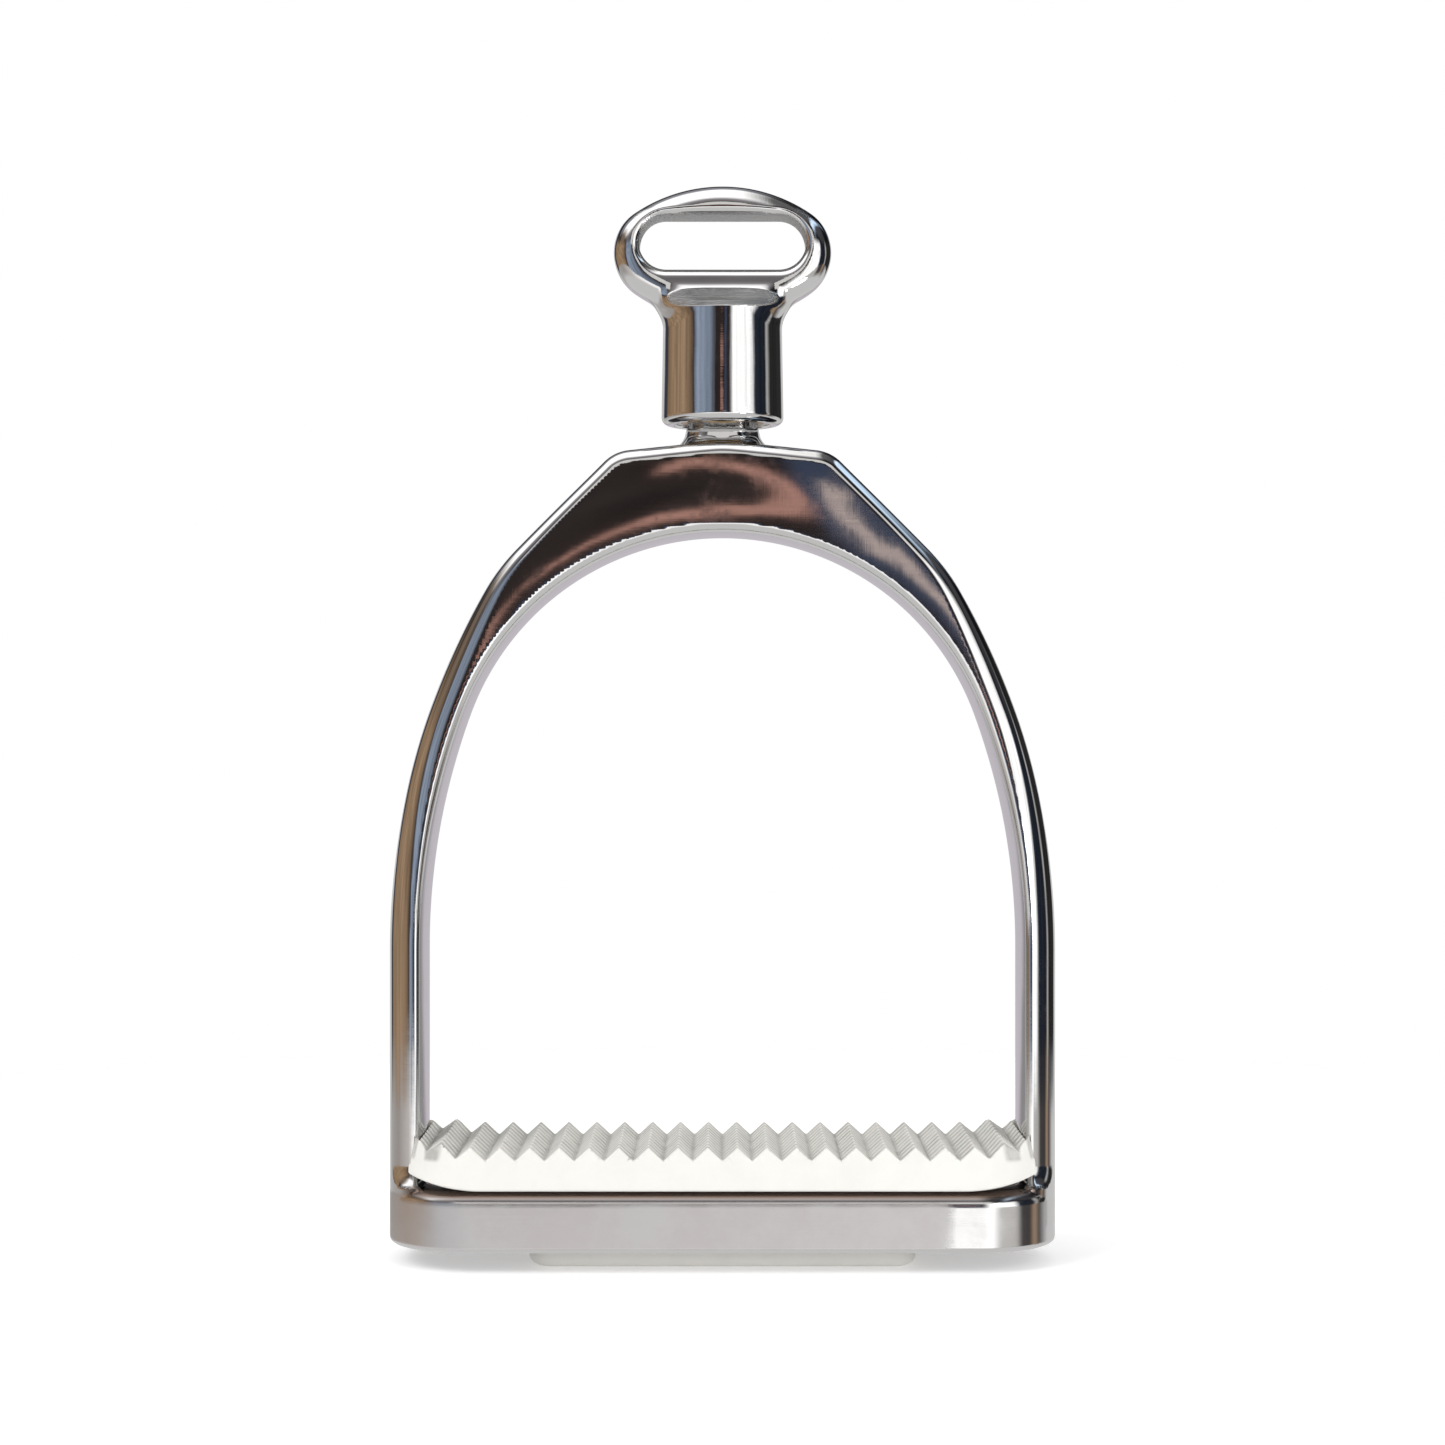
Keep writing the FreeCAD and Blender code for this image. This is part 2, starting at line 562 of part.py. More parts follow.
def make_swivel_eye():
    """Loop for the stirrup leather, cast in one with a barrel that has a blind bore."""
    body = new_body("swivel_eye")
    loop_sketch = new_sketch(body, "loop_outline", "XZ_Plane")
    oval_outline(loop_sketch)
    pad(body, "loop", loop_sketch, "loop_depth", symmetric=True)
    fillet(body, "loop_round", "loop_round", lambda edge: edge.BoundBox.YLength < 0.01)
    slot_sketch = new_sketch(body, "slot_outline", "XZ_Plane")
    stadium_outline(slot_sketch)
    pocket(body, "slot", slot_sketch, "2 * loop_depth", symmetric=True)

    def on_slot_rim(edge):
        box = edge.BoundBox
        inside = box.XMax < size("slot_width / 2") + 0.1 and box.XMin > -size("slot_width / 2") - 0.1
        level = abs(abs(box.YMin) - size("loop_depth / 2")) < 0.01 and box.YLength < 0.01
        tall = box.ZMax < size("slot_centre + slot_height / 2") + 0.1
        return inside and level and tall

    fillet(body, "slot_round", "slot_round", on_slot_rim)
    barrel_sketch = new_sketch(body, "barrel_outline", "XZ_Plane")
    turned_outline(barrel_sketch, [
        ("0", "barrel_base"),
        ("barrel_low_radius", "barrel_base"),
        ("barrel_high_radius", "barrel_top"),
        ("saddle_radius", "saddle_height"),
        ("0", "saddle_height"),
    ], "barrel", hollows={2: "saddle_hollow"})
    revolve(body, "barrel", barrel_sketch)
    fillet(body, "barrel_round", "barrel_round", level_edge("barrel_base"))
    bore_sketch = new_sketch(body, "bore_outline", "XY_Plane", "barrel_base")
    bore_sketch.addGeometry(Part.Circle(V(0, 0, 0), V(0, 0, 1), size("bore_radius")), False)
    join(bore_sketch, [(0, CENTRE, -1, START)])
    dimension(bore_sketch, "Radius", [0], "bore", "bore_radius")
    doc.recompute()
    pocket(body, "bore", bore_sketch, "bore_top - barrel_base", reverse=True)
    return body


# ---------------------------------------------------------------- bearing pieces
def cylinder(name, radius, height, base):
    """An upright cylinder on the Z axis."""
    thing = doc.addObject("Part::Cylinder", name)
    bind(thing, "Radius", radius)
    bind(thing, "Height", height)
    bind(thing, "Placement.Base.z", base)
    return thing


def make_ring_piece(label, outer, inner, height, base):
    """A flat ring, such as a collar or a washer."""
    body = cylinder(f"{label}_outside", outer, height, base)
    hole = cylinder(f"{label}_hole", inner, height, base)
    return combine("Part::Cut", label, body, hole)


def make_neck_bush():
    """Flanged sleeve: the flange lies on the collar, the sleeve lines it."""
    body = new_body("neck_bush")
    sketch = new_sketch(body, "bush_outline", "XZ_Plane")
    flange_base = "collar_base + collar_height"
    turned_outline(sketch, [
        ("neck_radius + bush_clearance", "collar_base"),
        ("collar_bore", "collar_base"),
        ("collar_bore", flange_base),
        ("flange_radius", flange_base),
        ("flange_radius", f"{flange_base} + flange_height"),
        ("neck_radius + bush_clearance", f"{flange_base} + flange_height"),
    ], "bush")
    revolve(body, "bush", sketch)
    return body


def cross_pin_cylinder(name, length):
    """A cylinder along X, centred on the stud, half way up the nut."""
    thing = doc.addObject("Part::Cylinder", name)
    thing.Placement = FreeCAD.Placement(V(0, 0, 0), FreeCAD.Rotation(V(0, 1, 0), 90))
    bind(thing, "Radius", "pin_radius")
    bind(thing, "Height", length)
    bind(thing, "Placement.Base.x", f"-({length}) / 2")
    bind(thing, "Placement.Base.z", "stud_shoulder + washer_height + nut_height / 2")
    return thing


def make_stud_nut():
    """Hexagon nut on the stud, drilled across for the pin."""
    base = "stud_shoulder + washer_height"
    prism = doc.addObject("Part::Prism", "nut_hexagon")
    prism.Polygon = 6
    bind(prism, "Circumradius", "nut_flats / 2 / cos(30)")
    bind(prism, "Height", "nut_height")
    bind(prism, "Placement.Base.z", base)
    hole = cylinder("nut_hole", "stud_radius", "nut_height", base)
    bored = combine("Part::Cut", "nut_bored", prism, hole)
    cross_hole = cross_pin_cylinder("nut_cross_hole", "3 * nut_flats")
    return combine("Part::Cut", "stud_nut", bored, cross_hole)


def make_nut_cross_pin():
    pin = cross_pin_cylinder("nut_cross_pin", "pin_length")
    pin.Label = "nut_cross_pin"
    return pin


def make_top_thrust_disc():
    """Disc that fills the bore's end above the stud."""
    base = "stud_top + disc_gap"
    disc = cylinder("top_thrust_disc", "disc_radius", f"bore_top - ({base})", base)
    disc.Label = "top_thrust_disc"
    return disc


# ---------------------------------------------------------------- tread pad
def arm_notch_outline(sketch):
    """Rectangle round the right arm, open past the pad's end."""
    inner = "inside_width / 2 - pad_notch_gap"
    outer = "pad_length / 2 + 5"
    half = "bow_depth / 2 + pad_notch_gap"
    points = [
        (size(inner), -size(half)),
        (size(outer), -size(half)),
        (size(outer), size(half)),
        (size(inner), size(half)),
    ]
    for index in range(4):
        sketch.addGeometry(line(points[index], points[(index + 1) % 4]), False)
    for index in range(4):
        join(sketch, [(index, END, (index + 1) % 4, START)])
    for index, kind in enumerate(["Horizontal", "Vertical", "Horizontal"]):
        sketch.addConstraint(Sketcher.Constraint(kind, index))
    sketch.addConstraint(Sketcher.Constraint("Symmetric", 0, START, 3, START, -1))
    dimension(sketch, "DistanceX", [-1, START, 0, START], "inner", inner)
    dimension(sketch, "DistanceX", [-1, START, 0, END], "outer", outer)
    dimension(sketch, "DistanceY", [1, START, 1, END], "across", f"2 * ({half})")
    doc.recompute()


def valley_outline(sketch):
    """The leftmost V valley; its sides run on past the ridges' tips."""
    floor = "pad_base + pad_thickness"
    rise = "(ridge_height + 1)"
    half = f"ridge_pitch / 2 / ridge_height * {rise}"
    middle = "ridge_pitch * ridge_count / 2"
    points = [
        (-size(middle), size(floor)),
        (-size(middle) + size(half), size(f"{floor} + {rise}")),
        (-size(middle) - size(half), size(f"{floor} + {rise}")),
    ]
    for index in range(3):
        sketch.addGeometry(line(points[index], points[(index + 1) % 3]), False)
    for index in range(3):
        join(sketch, [(index, END, (index + 1) % 3, START)])
    sketch.addConstraint(Sketcher.Constraint("Horizontal", 1))
    sketch.addConstraint(Sketcher.Constraint("Equal", 0, 2))
    dimension(sketch, "DistanceX", [0, START, -1, START], "middle", middle)
    dimension(sketch, "DistanceY", [-1, START, 0, START], "floor", floor)
    dimension(sketch, "DistanceY", [0, START, 0, END], "rise", rise)
    dimension(sketch, "DistanceX", [1, END, 1, START], "across", f"2 * {half}")
    doc.recompute()


def make_tread_pad():
    """Ribbed rubber pad with notches for the arms and a plug through the ring's floor."""
    body = new_body("tread_pad")
    pad_sketch = new_sketch(body, "pad_outline", "XY_Plane", "pad_base")
    rounded_rectangle(pad_sketch, "pad_length", "pad_depth", "pad_corner", "pad")
    pad(body, "pad_block", pad_sketch, "pad_thickness + ridge_height + 0.5")
    notch_sketch = new_sketch(body, "notch_outline", "XY_Plane", "pad_base")
    arm_notch_outline(notch_sketch)
    notch = pocket(body, "right_notch", notch_sketch, "2 * pad_thickness", reverse=True)
    mirror(body, "notches", notch)
    valley_sketch = new_sketch(body, "valley_outline", "XZ_Plane")
    valley_outline(valley_sketch)
    valley = pocket(body, "first_valley", valley_sketch, "2 * pad_depth", symmetric=True)
    valleys = body.newObject("PartDesign::LinearPattern", "valleys")
    valleys.Originals = [valley]
    valleys.Direction = (valley_sketch, ["H_Axis"])
    bind(valleys, "Length", "ridge_pitch * ridge_count")
    bind(valleys, "Occurrences", "ridge_count + 1")
    body.Tip = valleys
    doc.recompute()
    plug_sketch = new_sketch(body, "plug_outline", "XY_Plane")
    rounded_rectangle(plug_sketch, "plug_length", "plug_width", "plug_corner", "plug")
    pad(body, "plug", plug_sketch, "pad_base")
    fillet(body, "plug_round", "plug_round", lambda edge: edge.BoundBox.ZMax < 0.01)
    return body


# ---------------------------------------------------------------- build and export
def check(things):
    """Stop on any failed object and on any sub-part without one valid solid."""
    for thing in doc.Objects:
        if {"Invalid", "Error"} & set(thing.State):
            raise RuntimeError(f"{thing.Name} failed: {thing.State}")
    for thing in things:
        shape = thing.Shape
        if shape.isNull() or not shape.isValid() or len(shape.Solids) != 1:
            raise RuntimeError(f"{thing.Label} isn't one valid solid")


def main():
    pieces = [
        make_stirrup_body(),
        make_swivel_eye(),
        make_ring_piece(
            "retaining_collar", "bore_radius", "collar_bore", "collar_height", "collar_base"),
        make_neck_bush(),
        make_ring_piece(
            "thrust_washer", "washer_radius", "stud_radius", "washer_height", "stud_shoulder"),
        make_stud_nut(),
        make_nut_cross_pin(),
        make_top_thrust_disc(),
        make_tread_pad(),
    ]
    doc.recompute()
    check(pieces)
    os.makedirs("parts", exist_ok=True)
    for piece in pieces:
        piece.Shape.exportStep(f"parts/{piece.Label}.step")
        box = piece.Shape.BoundBox
        print(f"{piece.Label}: {piece.Shape.Volume:.0f} mm3, "
              f"{box.XLength:.1f} x {box.YLength:.1f} x {box.ZLength:.1f}, base {box.ZMin:.2f}")


main()
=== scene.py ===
"""Looks of a swivel-eye stirrup iron, laid out as a Blender add-on and run as a script.

The two castings and the rubber tread are meshed from distance fields, so that every
junction has the soft run-out of a cast and hand-polished piece. Fields work in
millimetres in the frame of the CAD part; a mesh is scaled to metres when it is made.
"""
import math

import bpy
import numpy as np
import openvdb
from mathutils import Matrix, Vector


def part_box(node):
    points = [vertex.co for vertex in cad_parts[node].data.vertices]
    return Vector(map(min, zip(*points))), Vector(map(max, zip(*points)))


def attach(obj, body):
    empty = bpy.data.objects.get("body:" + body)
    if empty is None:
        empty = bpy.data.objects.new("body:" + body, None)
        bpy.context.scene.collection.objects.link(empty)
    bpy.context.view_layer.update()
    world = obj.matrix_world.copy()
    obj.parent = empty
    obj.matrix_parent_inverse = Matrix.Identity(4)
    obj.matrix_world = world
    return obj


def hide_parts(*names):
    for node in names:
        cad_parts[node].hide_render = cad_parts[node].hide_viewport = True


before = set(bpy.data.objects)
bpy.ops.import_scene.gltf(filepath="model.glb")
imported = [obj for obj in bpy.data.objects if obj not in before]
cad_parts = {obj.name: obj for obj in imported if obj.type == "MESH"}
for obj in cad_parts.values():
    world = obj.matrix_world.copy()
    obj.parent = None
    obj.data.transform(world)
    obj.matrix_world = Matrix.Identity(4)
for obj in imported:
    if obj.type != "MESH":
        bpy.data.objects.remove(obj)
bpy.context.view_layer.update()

bl_info = {
    "name": "Stirrup Iron",
    "version": (1, 0, 0),
    "blender": (4, 5, 0),
    "location": "View3D > Sidebar > Stirrup",
    "description": "Builds the visible pieces of a swivel-eye stirrup iron around its CAD frame",
    "category": "Object",
}

MM = 0.001
BODY_LOW, BODY_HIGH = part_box("stirrup_body")
EYE_LOW, EYE_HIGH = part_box("swivel_eye")
PAD_LOW, PAD_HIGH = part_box("tread_pad")


# ---------------------------------------------------------------- sizes and colours
def length(name, description, default):
    """A length property with its default in metres."""
    return bpy.props.FloatProperty(
        name=name, description=description, default=default, min=0.0, unit="LENGTH",
        subtype="DISTANCE", precision=5)


def colour(name, description, default):
    return bpy.props.FloatVectorProperty(
        name=name, description=description, default=default, size=3, min=0.0, max=1.0,
        subtype="COLOR")


def factor(name, description, default):
    return bpy.props.FloatProperty(
        name=name, description=description, default=default, min=0.0, max=1.0,
        subtype="FACTOR")


class BowSizes(bpy.types.PropertyGroup):
    inside_half: length("Inside half width", "Half the clear width between the arms", 0.0602)
    apex: length("Apex height", "Top of the foot opening", 0.1457)
    spring: length("Spring height", "Where the arms start to lean in", 0.062)
    crown_radius: length("Opening's top radius", "Radius of the foot opening's top", 0.055)
    back_radius: length("Back radius", "Outer side of the arms", 0.143)
    haunch_radius: length("Haunch radius", "Blend from arm to sloping shoulder", 0.042)
    shoulder_half: length("Shoulder half width", "Where the shoulder lines meet", 0.0216)
    shoulder_height: length("Shoulder height", "Where the shoulder lines meet", 0.1616)
    shoulder_radius: length("Shoulder rounding", "Rounding of that corner", 0.008)
    depth: length("Depth", "Arms and crown, front to back", 0.024)
    outer_round: length("Outer rounding", "Rounding of the arms' outer edges", 0.0048)
    crown_round: length("Crown rounding", "Rounding of the crown's edges", 0.0026)
    inner_round: length("Inner rounding", "Rounding of the edges of the opening", 0.0016)
    inner_swell: length("Inner swell", "How far the arms' inner faces bulge", 0.0003)
    foot_sweep: length("Foot sweep", "Radius with which the arms run out into the ring", 0.004)
    neck_radius: length("Neck radius", "Neck between crown and barrel", 0.0072)
    neck_fillet: length("Neck fillet", "Run-out of the neck into the crown", 0.0026)
    neck_slope: factor("Neck slope", "How much the neck widens towards the crown", 0.22)
    neck_flat: length("Neck flat", "Distance of the neck's filed flats from its axis", 0.0066)
    neck_flat_slope: factor("Neck flat slope", "How much the flats lean out downwards", 0.15)
    neck_flat_bulge: length("Neck flat bulge", "Radius of the flats from side to side", 0.045)
    neck_foot: length("Neck foot height", "Where the neck ends inside the crown", 0.161)
    neck_flare: length("Neck flare", "How much wider the neck's foot is than the neck", 0.0011)
    dome_middle: length("Dome middle", "Distance of the faces' ridge from the opening", 0.0085)
    dome_radius: length("Dome radius", "Crowning of the front and back faces", 0.17)
    dome_length: length("Dome length radius", "The same crowning from side to side", 0.70)
    dome_reach: length("Dome reach", "Distance sideways over which that crowning dies out", 0.045)
    dome_start: length("Dome start height", "The faces are flat below", 0.070)
    dome_end: length("Dome end height", "The faces are fully crowned above", 0.130)
    crisp_start: length("Crisp start height", "Outer edges have the arms' rounding below", 0.112)
    crisp_end: length("Crisp end height", "Outer edges have the crown's rounding above", 0.150)
    round_back_end: length("Rounded back end", "Where the arms' backs have become flat", 0.110)
    ridge_start: length("Top ridge start height", "The top's middle is softened above", 0.150)
    ridge_end: length("Top ridge end height", "The top's middle is fully soft above", 0.158)
    ridge_radius: length("Top ridge radius", "Rounding where the two sides of the top meet", 0.002)
    stud_radius: length("Stud radius", "Stud inside the barrel", 0.005)
    stud_round: length("Stud rounding", "Rounding of the stud's end", 0.0008)
    stud_length: length("Stud length", "Stud above the neck's shoulder", 0.010)


class RingSizes(bpy.types.PropertyGroup):
    corner: length("Corner radius", "Plan corner radius of the ring", 0.017)
    height: length("Height", "Ring, bottom to top", 0.012)
    top_round: length("Top rounding", "Rounding of the top edge", 0.0028)
    low_round: length("Low rounding", "Rounding of the bottom edge", 0.0012)
    tray_half_length: length("Recess half length", "Recess under the pad", 0.0592)
    tray_half_width: length("Recess half width", "Recess under the pad", 0.015)
    tray_corner: length("Recess corner", "Plan corner radius of the recess", 0.013)
    tray_floor: length("Recess floor", "Thickness of the recess's floor", 0.004)
    tray_round: length("Recess rounding", "Rounding at the recess's floor", 0.0015)
    rim_round: length("Rim rounding", "Rounding of the recess's rim", 0.0007)
    slot_half_length: length("Slot half length", "Slot for the pad's plug", 0.0385)
    slot_half_width: length("Slot half width", "Slot for the pad's plug", 0.012)
    slot_corner: length("Slot corner", "Plan corner radius of that slot", 0.005)
    slot_round: length("Slot rounding", "Rounding of that slot's edges", 0.0004)
    arm_fillet: length("Arm fillet", "Fillet between the arms and the ring", 0.0012)


class EyeSizes(bpy.types.PropertyGroup):
    loop_half: length("Loop half width", "Loop for the leather", 0.0219)
    loop_centre: length("Loop centre height", "Middle of the loop", 0.2024)
    loop_end_radius: length("Loop end radius", "Radius of the loop's ends", 0.0095)
    loop_depth: length("Loop depth", "Loop, front to back", 0.011)
    loop_round: length("Loop rounding", "Rounding of the outer edges", 0.0046)
    slot_half: length("Slot half width", "Slot for the leather", 0.01675)
    slot_radius: length("Slot end radius", "Half the slot's height", 0.0055)
    slot_centre: length("Slot centre height", "Middle of the slot", 0.204)
    slot_round: length("Slot rounding", "Rounding of the slot's rims", 0.0017)
    barrel_low_radius: length("Barrel radius at the mouth", "Barrel", 0.0123)
    barrel_high_radius: length("Barrel radius at the top", "Barrel", 0.0119)
    barrel_top: length("Barrel top height", "Where the barrel's side ends", 0.1915)
    saddle: length("Saddle radius", "Hollow between barrel and loop", 0.0042)
    flare_slope: factor("Flare", "How much the loop's lower bar widens downwards", 0.26)
    bore_radius: length("Bore radius", "Blind bore in the barrel", 0.0095)
    bore_top: length("Bore top height", "End of the blind bore", 0.1885)
    bore_round: length("Bore rounding", "Rounding of the bore's edge", 0.0005)
    barrel_round: length("Barrel rounding", "Rounding of the barrel's top", 0.0012)
    mouth_round: length("Mouth rounding", "Rounding of the barrel's mouth", 0.0016)
    flare_soft: length("Flare softness", "How gently the flare starts", 0.002)


class PadSizes(bpy.types.PropertyGroup):
    half_length: length("Half length", "Pad, across the iron", 0.0650)
    half_depth: length("Half depth", "Pad, front to back", 0.0185)
    corner: length("Corner radius", "Plan corner radius", 0.013)
    thickness: length("Thickness", "Underside to the foot of the ridges", 0.0060)
    ridge_height: length("Ridge height", "V ridges", 0.0027)
    ridge_pitch: length("Ridge pitch", "Distance from ridge to ridge", 0.0058)
    serration_pitch: length("Serration pitch", "Distance between the cross grooves", 0.0037)
    serration_depth: length("Serration depth", "Cross grooves on the ridges", 0.0005)
    lift: length("End lift", "How far the pad's ends curl up", 0.0034)
    lift_run: length("Lift run", "Length of the curled ends", 0.016)
    crest_flat: length("Crest flat", "How much is worn off the ridges' tips", 0.00012)
    top_round: length("Top rounding", "Rounding of the pad's top edge", 0.00025)
    low_round: length("Low rounding", "Rounding of the pad's lower edge", 0.0005)
    notch_round: length("Notch rounding", "Rounding of the edges at the arms", 0.0004)
    serration_half: length("Serration half width", "Half the width of a cross groove", 0.0009)
    lift_start: length("Lift start", "Distance from the middle where the curl starts", 0.048)
    end_slope: factor("End slope", "How much the ends lean in", 0.22)
    notch_gap: length("Notch gap", "Gap between pad and arm", 0.0004)
    plug_half_length: length("Plug half length", "Plug through the ring's floor", 0.0385)
    plug_half_width: length("Plug half width", "Plug through the ring's floor", 0.012)
    plug_corner: length("Plug corner", "Plan corner radius of the plug", 0.005)
    plug_round: length("Plug rounding", "Rounding of the plug's lower edge", 0.0022)


class Finishes(bpy.types.PropertyGroup):
    steel: colour("Steel", "Polished stainless steel", (0.66, 0.655, 0.65))
    steel_dull: colour("Dull steel", "Satin stainless steel", (0.72, 0.705, 0.695))
    steel_roughness: factor("Polish", "Roughness of the polished steel", 0.035)
    satin_roughness: factor("Satin", "Roughness of the ring's wall", 0.34)
    # painted shade: dark colour painted on the ring's top edge beside the pad, standing in for the
    # pad's shadowed underside mirrored there
    film_and_painted_shade: colour("Film", "Dark film on the ring's top edge", (0.17, 0.125, 0.105))
    rubber: colour("Rubber", "Off-white rubber", (0.71, 0.70, 0.665))
    # also painted into the pad's grooves and valleys as shade, besides the dust and the specks
    rubber_grime_and_shade: colour("Grime", "Dust held in the grooves", (0.32, 0.31, 0.285))
    bronze: colour("Bronze", "Bearing bronze", (0.62, 0.42, 0.20))
    nylon: colour("Nylon", "Natural nylon", (0.85, 0.83, 0.76))
    floor: colour("Floor", "Plain pale floor", (0.97, 0.97, 0.97))


GROUPS = {
    "stirrup_bow": BowSizes,
    "stirrup_ring": RingSizes,
    "stirrup_eye": EyeSizes,
    "stirrup_pad": PadSizes,
    "stirrup_finishes": Finishes,
}


# ---------------------------------------------------------------- distance fields
# A field is negative inside the material. Arguments x, y, z are arrays in millimetres.
def mm(value):
    return value / MM


def join_round(a, b, r):
    """Union with a fillet of radius r in the inside corner."""
    ua = np.maximum(r - a, 0.0)
    ub = np.maximum(r - b, 0.0)
    return np.maximum(np.minimum(a, b), r) - np.hypot(ua, ub)


def meet_round(a, b, r):
    """Intersection with the outside corner rounded to radius r."""
    ua = np.maximum(a + r, 0.0)
    ub = np.maximum(b + r, 0.0)
    return np.minimum(np.maximum(a, b), -r) + np.hypot(ua, ub)


def cut_round(a, b, r):
    """a without b, with the edge rounded to radius r."""
    return meet_round(a, -b, r)


def rounded_box(x, y, half_x, half_y, corner):
    qx = np.abs(x) - (half_x - corner)
    qy = np.abs(y) - (half_y - corner)
    outside = np.hypot(np.maximum(qx, 0.0), np.maximum(qy, 0.0))
    return outside + np.minimum(np.maximum(qx, qy), 0.0) - corner


def smooth_step(value, low, high):
    t = np.clip((value - low) / (high - low), 0.0, 1.0)
    return t * t * (3.0 - 2.0 * t)


class Chain:
    """Signed distance to a convex outline of tangent runs and arcs, for x of zero or more.

    Each part keeps its distance function and the test for the points that are nearest to
    it: those between the normals at its two ends.
    """

    def __init__(self):
        self.parts = []

    def run(self, point, normal_angle, along_low, along_high):
        """A straight part through point; along is measured from it, to the left of the normal."""
        nx, nz = math.cos(normal_angle), math.sin(normal_angle)
        self.parts.append(("run", point, (nx, nz), along_low, along_high))
        return self

    def bend(self, centre, radius, angle_low, angle_high):
        self.parts.append(("bend", centre, radius, angle_low, angle_high))
        return self

    def distance(self, x, z):
        best = np.full(np.broadcast(x, z).shape, 1.0e6)
        for kind, place, shape, low, high in self.parts:
            dx = x - place[0]
            dz = z - place[1]
            if kind == "run":
                along = -dx * shape[1] + dz * shape[0]
                away = dx * shape[0] + dz * shape[1]
                near = (along >= low) & (along <= high)
            else:
                angle = np.arctan2(dz, dx)
                away = np.hypot(dx, dz) - shape
                near = (angle >= low) & (angle <= high)
            best = np.where(near & (np.abs(away) < np.abs(best)), away, best)
        return best


FAR = 1.0e4


def opening_chain(s):
    """The foot opening: upright arms, leaning arms and crown arc."""
    inner, apex = mm(s.inside_half), mm(s.apex)
    spring, crown_r = mm(s.spring), mm(s.crown_radius)
    rise = apex - spring
    side_r = (inner ** 2 + rise ** 2 - 2 * rise * crown_r) / (2 * (inner - crown_r))
    crown_c = (0.0, apex - crown_r)
    side_c = (inner - side_r, spring)
    meet = math.atan2(crown_c[1] - side_c[1], crown_c[0] - side_c[0])
    chain = Chain()
    chain.run((inner, spring), 0.0, -FAR, 0.0)
    chain.bend(side_c, side_r, 0.0, meet)
    chain.bend(crown_c, crown_r, meet, math.pi / 2 + 0.05)
    return chain


def back_chain(s, outer):
    """The outer side of the bow, from the arm up to the crown's nearly level top."""
    spring, back_r, haunch_r = mm(s.spring), mm(s.back_radius), mm(s.haunch_radius)
    slope = math.radians(45.0)
    top = math.radians(84.0)
    corner = (mm(s.shoulder_half), mm(s.shoulder_height))
    round_r = mm(s.shoulder_radius)
    back_c = (outer - back_r, spring)
    normal = (math.cos(slope), math.sin(slope))
    reach = corner[0] * normal[0] + corner[1] * normal[1] - haunch_r
    across = back_c[0] * normal[0] + back_c[1] * normal[1]
    along = math.sqrt((back_r - haunch_r) ** 2 - (reach - across) ** 2)
    haunch_c = (
        back_c[0] + (reach - across) * normal[0] + along * normal[1],
        back_c[1] + (reach - across) * normal[1] - along * normal[0],
    )
    out = math.atan2(haunch_c[1] - back_c[1], haunch_c[0] - back_c[0])
    trim = round_r * math.tan((top - slope) / 2)
    haunch_end = (haunch_c[0] + haunch_r * normal[0], haunch_c[1] + haunch_r * normal[1])
    run = math.dist(corner, haunch_end)
    slope_end = (corner[0] + trim * normal[1], corner[1] - trim * normal[0])
    round_c = (slope_end[0] - round_r * normal[0], slope_end[1] - round_r * normal[1])
    chain = Chain()
    chain.run((outer, spring), 0.0, -FAR, 0.0)
    chain.bend(back_c, back_r, 0.0, out)
    chain.bend(haunch_c, haunch_r, out, slope)
    chain.run(corner, slope, -run, -trim)
    chain.bend(round_c, round_r, slope, top)
    chain.run(corner, top, trim, FAR)
    return chain


def end_curve(y, half_width, corner):
    """How far a ring's rounded end stands back at y from its furthest point."""
    beyond = np.clip(np.abs(y) - (half_width - corner), 0.0, corner * 0.999)
    return corner - np.sqrt(corner ** 2 - beyond ** 2)


